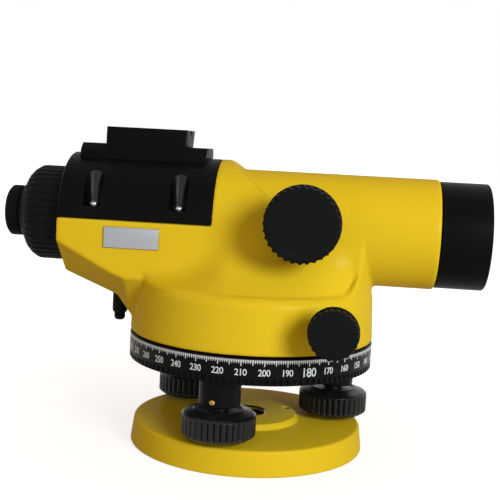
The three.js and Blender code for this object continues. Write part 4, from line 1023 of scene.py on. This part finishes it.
def build_focus_knob():
    lobes, depth = sizes().focus_lobes, sizes().lobe_depth / MM

    def scallop(radius, along, angle):
        """Round lobes on the knob's rim, in front of its back edge."""
        if radius < 13.2 or along > -41.9:
            return radius
        return radius - depth * smooth_step(radius, 13.2, 14.6) * (0.5 - 0.5 * cos(lobes * angle))

    back = rounded([
        (0, -29.5), (9.5, -29.5, 0.3), (9.5, -40.0, 0.8), (14.4, -40.4, 0.4), (15.35, -41.0, 0.35),
        (15.35, -41.8, 0.2), (15.15, -42.1),
    ], 0.3)
    front = rounded([
        (15.15, -48.9), (15.1, -49.3, 0.4), (14.3, -50.0, 0.4), (13.0, -50.0, 0.2), (2.0, -50.0, 0.1),
        (0, -49.9),
    ], 0.3)
    profile = [*back, (15.15, -42.3), (15.15, -43.0), (15.15, -46.0), *front]
    knob = solid("focus_knob_grip", lathe(profile, lobes * 16, FOCUS, scallop))
    combine(knob, "DIFFERENCE", cylinder(2.5, -44.3, -29, 28, FOCUS))
    placed(knob, "focus_drive", knob_black(), ["focus_knob"])
    outline = [(2.5, -29.2), (6.4, -29.2), (6.4, -19.8), (2.5, -19.8)]
    bush = turned("focus_bush_turned", outline, 0.3, 64, FOCUS)
    placed(bush, "upper_part", brass(), ["focus_bush"])


# Objective end

def lens_profile(radius, rear, front, bulge, steps):
    """Two faces that bulge out between the heights of their rims."""
    shares = [i / steps for i in range(steps + 1)]
    rear_face = [(radius * share, rear - bulge * (1 - share ** 2)) for share in shares]
    return [*rear_face, *[(radius * share, front + bulge * (1 - share ** 2)) for share in reversed(shares)]]


def baffles(radius, along, angle):
    """Fine anti-glare grooves inside the hood."""
    if radius > 20.65 or not 79.5 < along < 96:
        return radius
    return radius - 0.12 * abs(sin(along * pi / 1.1))


def build_objective():
    outline = rounded([
        (17.6, 70.0, 0.2), (19.2, 70.0, 0.2), (19.2, 76.9, 0.1), (22.6, 76.9, 0.35), (22.6, 96.6, 0.5),
        (22.0, 97.2, 0.3), (20.9, 97.2, 0.3), (20.6, 96.4, 0.3), (20.4, 79.0, 0.4), (18.2, 77.4, 0.4),
        (17.6, 76.0, 0.3),
    ], 0.3, closed=True)
    # The grooves need many points, which come in at the inner edge of the hood's mouth
    mouth = next(i for i, (radius, along) in enumerate(outline) if abs(radius - 20.6) < 0.12 and along > 96)
    grooves = [(20.5, 96.0 - 0.275 * i) for i in range(60)]
    profile = [*outline[:mouth + 1], *grooves, *outline[mouth + 1:]]
    shell = solid("lens_hood_shell", lathe(profile, 200, SIGHT, baffles))
    placed(shell, "upper_part", cover_black(), ["lens_hood"])
    cell = turned("objective_mount", [
        (14.8, 55.0), (19.2, 55.0), (19.2, 69.6, 0.2), (16.6, 69.6, 0.3), (16.4, 69.0, 0.2), (16.4, 57.7),
        (14.8, 57.7),
    ], 0.15, 120, SIGHT)
    placed(cell, "upper_part", cover_black(), ["objective_cell"])
    lens = solid("objective_glass", lathe(lens_profile(15.9, 58, 65, 1.8, 10), 120, SIGHT))
    placed(lens, "upper_part", coated_glass(), ["objective_lens"], smooth=60)


# Cover, rail, sight and plate

POCKET = 3.65


def in_screw_pocket(x, y, z):
    """Whether a place is on the wall or floor of a cover screw's pocket, under the cover's outer skin."""
    if z <= 100.8 or hypot(y, z - SIGHTLINE) >= 26.9:
        return False
    beside = [(px, py) for px, py, pz in COVER_SCREW_PLACES if py * y > 0]
    return any(hypot(x - px, y - py) < 3.8 or (abs(x - px) < 3.72 and abs(y) > abs(py)) for px, py in beside)


def build_cover():
    cover = turned("cover_shell", [
        (0, -81), (26.2, -81, 0.6), (BOX_HALF, -80.2, 0.5), (BOX_HALF, JOINT - 0.2, 0.35),
        (24.6, JOINT - 0.2), (24.6, -78.6), (0, -78.6),
    ], 0.4, 240, SIGHT, closed=False)
    whole = cylinder(25.8, -79.8, JOINT - 0.2, 160, SIGHT)
    for place in COVER_SCREW_PLACES:
        column = solid("column", cylinder(5.3, 95.5, 125, 48, upright(place)))
        combine(cover, "UNION", combine(column, "INTERSECT", whole))
    cuts = [block(-85, -10, -30, 30, 60, SEAT + 0.25), cylinder(12.3, -90, -74, 64, SIGHT)]
    pocket = rounded([(0, 101), (POCKET, 101, 0.5), (POCKET, 126), (0, 126)], 0.5)
    for place in COVER_SCREW_PLACES:
        x, y, z = place
        outside = 32 if y > 0 else -32
        mouth = block(x - POCKET, x + POCKET, min(y, outside), max(y, outside), 101, 126)
        cuts += [lathe(pocket, 48, upright(place)), mouth, cylinder(1.5, 90, 102, 24, upright(place))]
    combine(cover, "DIFFERENCE", *cuts)
    bevelled(cover, 0.28, 2, 40)
    placed(cover, "upper_part", cover_black(), ["telescope_cover"])
    second_finish(cover, pocket_black(), in_screw_pocket)
    for k, place in enumerate(COVER_SCREW_PLACES):
        build_cover_screw(k + 1, place)


def build_cover_screw(number, place):
    screw = turned(f"cover_screw_head_{number}", [
        (0, 89), (1.2, 89), (1.2, 101.3, 0.1), (2.2, 101.3, 0.2), (2.2, 102.3, 0.5), (1.3, 102.8, 0.3),
        (0, 102.9),
    ], 0.15, 40, upright(place), closed=False)
    bar = block(-1.1, 1.1, -0.22, 0.22, 102.2, 104)
    combine(screw, "DIFFERENCE", *[moved(turned_about_z(bar, angle), place) for angle in (0.5, 0.5 + pi / 2)])
    placed(screw, "upper_part", steel(), [f"cover_screw_{number}"])


def build_rail():
    rail = solid("rail_plate", side_prism([(-76.4, 116), (-22.3, 116), (-21.8, 127), (-75.4, 127)], -18, 18))
    section = [(-11.6, 110), (11.6, 110), (11.6, 124.3), (9.2, 126.9), (-9.2, 126.9), (-11.6, 124.3)]
    combine(rail, "INTERSECT", prism(section, -78, -18, "X"))
    combine(rail, "DIFFERENCE", cylinder(27.3, -80, -15, 160, SIGHT))
    bevelled(rail, 0.3, 3, 20)
    placed(rail, "upper_part", cover_black(), ["sight_rail"])
    outline = [(-65.1, 124.5), (-31.2, 124.5), (-30.5, 134.15), (-64.9, 134.15)]
    sight = solid("sight_block", side_prism(outline, -10.9, 10.9))
    groove = prism([(-1.8, 134.3), (1.8, 134.3), (0.9, 132.0), (-0.9, 132.0)], -70, -27, "X")
    combine(sight, "DIFFERENCE", groove)
    bevelled(sight, 0.35, 3, 25)
    placed(sight, "upper_part", cover_black(), ["peep_sight"])
    plate = bevelled(solid("side_plate", block(-60.6, -37.7, -28.0, -27.3, 84.6, 93.2)), 0.22, 3, 30)
    placed(plate, "upper_part", plate_alloy(), ["nameplate"])


# Eyepiece end

def build_dioptre_ring():
    flutes, depth = sizes().dioptre_flutes, sizes().flute_depth / MM

    def ribs(radius, along, angle):
        """Flutes that grow from the hole to the rim and stop at the ring's back."""
        if radius < 12.4 or along > -83.0:
            return radius
        return radius - depth * smooth_step(radius, 12.5, 18.5) * (1 - abs(sin(flutes * angle / 2)) ** 0.8)

    dome = rounded([
        (10.9, -102.0, 0.1), (11.6, -102.0, 0.3), (13.0, -101.0, 0.6), (15.0, -99.6, 0.8), (17.0, -98.8, 0.8),
        (18.9, -97.0, 0.9), (20.0, -95.2, 0.6), (20.5, -94.0),
    ], 0.4, steps=3)
    back = rounded([(20.5, -83.4), (20.2, -82.7), (12.3, -82.7), (12.3, -92.3), (10.9, -92.3)], 0.2)
    profile = [*dome, *wall(20.5, -93.6, -83.8, 16), *back]
    ring = solid("dioptre_grip", lathe(profile, flutes * 12, SIGHT, ribs))
    placed(ring, "dioptre", knob_black(), ["dioptre_ring"], smooth=40)


def build_eyepiece():
    build_dioptre_ring()
    sleeve = turned("eyepiece_tube", [
        (10.9, -92), (12, -92), (12, -82.3), (19, -82.3), (19, -81.3), (12, -81.3), (12, -76.4),
        (10.9, -76.4),
    ], 0.15, 96, SIGHT)
    placed(sleeve, "upper_part", cover_black(), ["eyepiece_sleeve"])
    cell = turned("eyepiece_barrel", [
        (8.6, -103.2), (10.4, -103.2), (10.4, -84.0), (7.6, -84.0), (7.6, -92.7), (8.6, -92.7),
    ], 0.15, 96, SIGHT)
    placed(cell, "eyepiece", cover_black(), ["eyepiece_cell"])
    lens = solid("eyepiece_glass", lathe(lens_profile(8.3, -97, -93, 0.9, 8), 80, SIGHT))
    placed(lens, "eyepiece", coated_glass(), ["eye_lens"], smooth=60)
    cup = turned("eyecup_rubber", [
        (7.2, -103.5, 0.2), (7.2, -107.3, 0.5), (8.4, -108.9, 0.7), (9.7, -108.9, 0.9), (11.0, -107.8, 0.7),
        (11.0, -104.3, 0.2), (10.75, -104.15, 0.1), (10.75, -103.5, 0.1), (11.0, -103.35, 0.1),
        (11.0, -103.1, 0.1), (9.0, -103.1, 0.1),
    ], 0.2, 120, SIGHT)
    placed(cup, "eyepiece", black_rubber(), ["eyecup"], smooth=40)


# Check button and round vial

def build_button():
    guide = turned("button_collar", [
        (2.7, 53.2, 0.2), (2.9, 53.2, 0.2), (3.3, 54.2, 0.3), (3.3, 66.0), (2.7, 66.0),
    ], 0.15, 56, BUTTON)
    placed(guide, "upper_part", knob_black(), ["button_guide"])
    stem = turned("button_stem", [
        (0, 49.8), (1.7, 49.8, 0.7), (2.4, 50.9, 0.5), (2.4, 61.8), (0.9, 61.8), (0.9, 80.7), (0, 80.7),
    ], 0.2, 48, BUTTON, closed=False, steps=6)
    placed(stem, "check_button", knob_black(), ["check_button"])


def build_vial():
    radius, rim, rise = 7.4, 77.8, 0.8
    case = turned("vial_housing", [
        (0, 71.3), (9.4, 71.3, 0.4), (9.4, 78.9, 0.5), (7.9, 78.9), (7.9, 73.3, 0.2), (0, 73.3),
    ], 0.3, 96, VIAL, closed=False)
    placed(case, "upper_part", cover_black(), ["vial_case"])
    dome = [(radius * cos(angle), rim + rise * sin(angle)) for angle in (radians(9 * i) for i in range(9))]
    glass = solid("vial_glass", lathe([(0, 73.6), (radius, 73.6), *dome, (0, rim + rise)], 80, VIAL))
    placed(glass, "upper_part", vial_liquid(), ["circular_vial"], smooth=60)
    mark = turned("vial_ring_mark", [(2.7, 78.52), (3.0, 78.52), (3.0, 78.6), (2.7, 78.6)], 0.01, 72, VIAL)
    placed(mark, "upper_part", circle_black())


# Pieces inside, which keep their solids

def finish_inner_pieces():
    by_finish = {
        steel: ["axis_sleeve", "spindle", "worm_shaft", "focus_pinion", "button_spring"],
        brass: ["ball_cup_1", "ball_cup_2", "ball_cup_3", "worm_wheel", "pendulum"],
        alloy: ["trivet", "focus_carriage", "reticle_cell", "compensator_frame"],
        clear_glass: ["focus_lens", "pendulum_prism", "relay_prism"],
    }
    for finish, names in by_finish.items():
        for name in names:
            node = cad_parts[name]
            node.data.materials.clear()
            node.data.materials.append(finish())


# Studio, with its places in metres

def seen_directly(tree):
    """1 for rays from the camera, off gloss and through glass, and 0 for those that light the scene."""
    path = tree.nodes.new("ShaderNodeLightPath")
    seen = math_node(tree, "MAXIMUM", path.outputs["Is Camera Ray"], path.outputs["Is Glossy Ray"])
    return math_node(tree, "MAXIMUM", seen, path.outputs["Is Transmission Ray"])


def build_floor():
    """A warm matt floor that is seen as a bright white ground."""
    form = bmesh.new()
    bmesh.ops.create_grid(form, x_segments=8, y_segments=8, size=6.0)
    mesh = bpy.data.meshes.new("floor")
    form.to_mesh(mesh)
    form.free()
    floor = bpy.data.objects.new("floor", mesh)
    floor.location.z = -0.2 * MM
    bpy.context.scene.collection.objects.link(floor)
    sand, daylight = (0.50, 0.44, 0.36, 1), (0.91, 0.95, 1.0, 1)
    material, tree, shader = new_material("Studio Floor", Roughness=0.9, Specular_IOR_Level=0.1)
    shader.inputs["Base Color"].default_value = sand
    shader.inputs["Emission Color"].default_value = daylight
    away = tree.nodes.new("ShaderNodeVectorMath")
    away.operation = "LENGTH"
    tree.links.new(tree.nodes.new("ShaderNodeTexCoord").outputs["Object"], away.inputs[0])
    # A little darker under the instrument than all round it
    glow = ranged(tree, away.outputs["Value"], 0.80, 1.1, start=0.06, end=0.35)
    tree.links.new(math_node(tree, "MULTIPLY", seen_directly(tree), glow), shader.inputs["Emission Strength"])
    mesh.materials.append(material)


def build_world(studio):
    """Warm light all round, from a sky that is seen as white."""
    warm, white = (1.0, 0.70, 0.36), (1, 1, 1)
    world = bpy.data.worlds.new("Studio")
    bpy.context.scene.world = world
    world.use_nodes = True
    tree = world.node_tree
    background = tree.nodes["Background"]
    seen = seen_directly(tree)
    tree.links.new(ranged(tree, seen, studio.sky, 1.0), background.inputs["Strength"])
    tree.links.new(mixed(tree, seen, warm, white), background.inputs["Color"])


def build_lamps(studio):
    target = Vector((0, 0, 0.07))
    lamps = [
        ("key", (0.62, -0.80, 0.40), 0.46, studio.key),
        ("fill", (-0.25, -0.95, 0.50), 0.8, studio.fill),
    ]
    for name, place, width, watts in lamps:
        lamp = bpy.data.lights.new(name, "AREA")
        lamp.shape, lamp.size, lamp.energy = "DISK", width, watts
        holder = bpy.data.objects.new(name, lamp)
        holder.location = place
        holder.rotation_euler = (target - Vector(place)).to_track_quat("-Z", "Y").to_euler()
        bpy.context.scene.collection.objects.link(holder)


def build_stage():
    studio = bpy.context.scene.level_studio
    bpy.context.scene.view_settings.view_transform = "Standard"
    build_floor()
    build_world(studio)
    build_lamps(studio)
    place_camera(studio)


def place_camera(studio):
    """The photograph's view: its distance, height, pitch and roll, turned round the vertical axis."""
    right = Vector((1, 0, 0))
    ahead = Vector((0, cos(studio.pitch), -sin(studio.pitch)))
    up = Vector((0, sin(studio.pitch), cos(studio.pitch)))
    c, s = cos(studio.roll), sin(studio.roll)
    right, up = right * c + up * s, up * c - right * s
    spot = Vector((-studio.offset, -studio.distance, studio.height))
    around = Matrix.Rotation(studio.turn, 3, "Z")
    # The lean turns the view about the sideways axis, at the height of the levelling screws' heads
    tilt = Matrix.Rotation(-studio.lean, 3, "Y")
    low = Vector((0, 0, 0.015))
    spot = tilt @ (around @ spot - low) + low
    right, up, ahead = (tilt @ (around @ axis) for axis in (right, up, ahead))
    camera = bpy.data.cameras.new("camera")
    camera.lens, camera.sensor_width = studio.focal, 36
    camera.clip_start, camera.clip_end = 0.02, 50
    holder = bpy.data.objects.new("camera", camera)
    facing = Matrix((right, up, -ahead)).transposed()
    holder.matrix_world = Matrix.Translation(spot + Vector((AXIS_X * MM, 0, 0))) @ facing.to_4x4()
    bpy.context.scene.collection.objects.link(holder)
    bpy.context.scene.camera = holder


# Operators

class LEVEL_OT_foot_plate(bpy.types.Operator):
    """Builds the foot plate with its tripod thread and spring plate"""
    bl_idname = "level.foot_plate"
    bl_label = "Foot Plate"

    def execute(self, context):
        build_foot_plate()
        return {"FINISHED"}


class LEVEL_OT_foot_screws(bpy.types.Operator):
    """Builds the three levelling screws with their bushes"""
    bl_idname = "level.foot_screws"
    bl_label = "Levelling Screws"

    def execute(self, context):
        build_foot_screws()
        return {"FINISHED"}


class LEVEL_OT_circle(bpy.types.Operator):
    """Builds the graduated circle with its lines and numbers"""
    bl_idname = "level.circle"
    bl_label = "Graduated Circle"

    def execute(self, context):
        build_circle()
        return {"FINISHED"}


class LEVEL_OT_housing(bpy.types.Operator):
    """Builds the painted housing casting"""
    bl_idname = "level.housing"
    bl_label = "Housing"

    def execute(self, context):
        build_housing()
        return {"FINISHED"}


class LEVEL_OT_tangent_knobs(bpy.types.Operator):
    """Builds the two tangent knobs and their bushes"""
    bl_idname = "level.tangent_knobs"
    bl_label = "Tangent Knobs"

    def execute(self, context):
        build_tangent_knobs()
        return {"FINISHED"}


class LEVEL_OT_focus_knob(bpy.types.Operator):
    """Builds the scalloped focusing knob"""
    bl_idname = "level.focus_knob"
    bl_label = "Focusing Knob"

    def execute(self, context):
        build_focus_knob()
        return {"FINISHED"}


class LEVEL_OT_objective(bpy.types.Operator):
    """Builds the lens hood, the objective's mount and its glass"""
    bl_idname = "level.objective"
    bl_label = "Objective"

    def execute(self, context):
        build_objective()
        return {"FINISHED"}


class LEVEL_OT_cover(bpy.types.Operator):
    """Builds the compensator cover with its screws"""
    bl_idname = "level.cover"
    bl_label = "Cover"

    def execute(self, context):
        build_cover()
        return {"FINISHED"}


class LEVEL_OT_rail(bpy.types.Operator):
    """Builds the rail, the sight and the bare side plate"""
    bl_idname = "level.rail"
    bl_label = "Rail, Sight and Plate"

    def execute(self, context):
        build_rail()
        return {"FINISHED"}


class LEVEL_OT_eyepiece(bpy.types.Operator):
    """Builds the dioptre ring, the eyepiece and the eyecup"""
    bl_idname = "level.eyepiece"
    bl_label = "Eyepiece"

    def execute(self, context):
        build_eyepiece()
        return {"FINISHED"}


class LEVEL_OT_button(bpy.types.Operator):
    """Builds the compensator's check button"""
    bl_idname = "level.button"
    bl_label = "Check Button"

    def execute(self, context):
        build_button()
        return {"FINISHED"}


class LEVEL_OT_vial(bpy.types.Operator):
    """Builds the round vial in its case"""
    bl_idname = "level.vial"
    bl_label = "Round Vial"

    def execute(self, context):
        build_vial()
        return {"FINISHED"}


class LEVEL_OT_inner_pieces(bpy.types.Operator):
    """Gives the pieces inside their finishes"""
    bl_idname = "level.inner_pieces"
    bl_label = "Inner Pieces"

    def execute(self, context):
        finish_inner_pieces()
        return {"FINISHED"}


class LEVEL_OT_stage(bpy.types.Operator):
    """Builds the floor, the light and the camera"""
    bl_idname = "level.stage"
    bl_label = "Studio"

    def execute(self, context):
        build_stage()
        return {"FINISHED"}


class LEVEL_PT_panel(bpy.types.Panel):
    """Lists the level's pieces with their sizes and colours"""
    bl_idname = "LEVEL_PT_panel"
    bl_label = "Optical Level"
    bl_space_type = "VIEW_3D"
    bl_region_type = "UI"
    bl_category = "Optical Level"

    def draw(self, context):
        for operator in OPERATORS:
            self.layout.operator(operator.bl_idname)
        for group in (context.scene.level_sizes, context.scene.level_colours, context.scene.level_studio):
            column = self.layout.box().column()
            for name in group.__annotations__:
                column.prop(group, name)


OPERATORS = (
    LEVEL_OT_stage, LEVEL_OT_foot_plate, LEVEL_OT_foot_screws, LEVEL_OT_circle, LEVEL_OT_housing,
    LEVEL_OT_tangent_knobs, LEVEL_OT_focus_knob, LEVEL_OT_objective, LEVEL_OT_cover, LEVEL_OT_rail,
    LEVEL_OT_eyepiece, LEVEL_OT_button, LEVEL_OT_vial, LEVEL_OT_inner_pieces,
)
GROUPS = {"level_sizes": LevelSizes, "level_colours": LevelColours, "level_studio": LevelStudio}


def register():
    for item in (*GROUPS.values(), *OPERATORS, LEVEL_PT_panel):
        bpy.utils.register_class(item)
    for name, group in GROUPS.items():
        setattr(bpy.types.Scene, name, bpy.props.PointerProperty(type=group))


def unregister():
    for name in GROUPS:
        delattr(bpy.types.Scene, name)
    for item in reversed((*GROUPS.values(), *OPERATORS, LEVEL_PT_panel)):
        bpy.utils.unregister_class(item)


def main():
    register()
    for operator in OPERATORS:
        family, name = operator.bl_idname.split(".")
        getattr(getattr(bpy.ops, family), name)()
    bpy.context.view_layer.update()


if __name__ == "__main__":
    main()
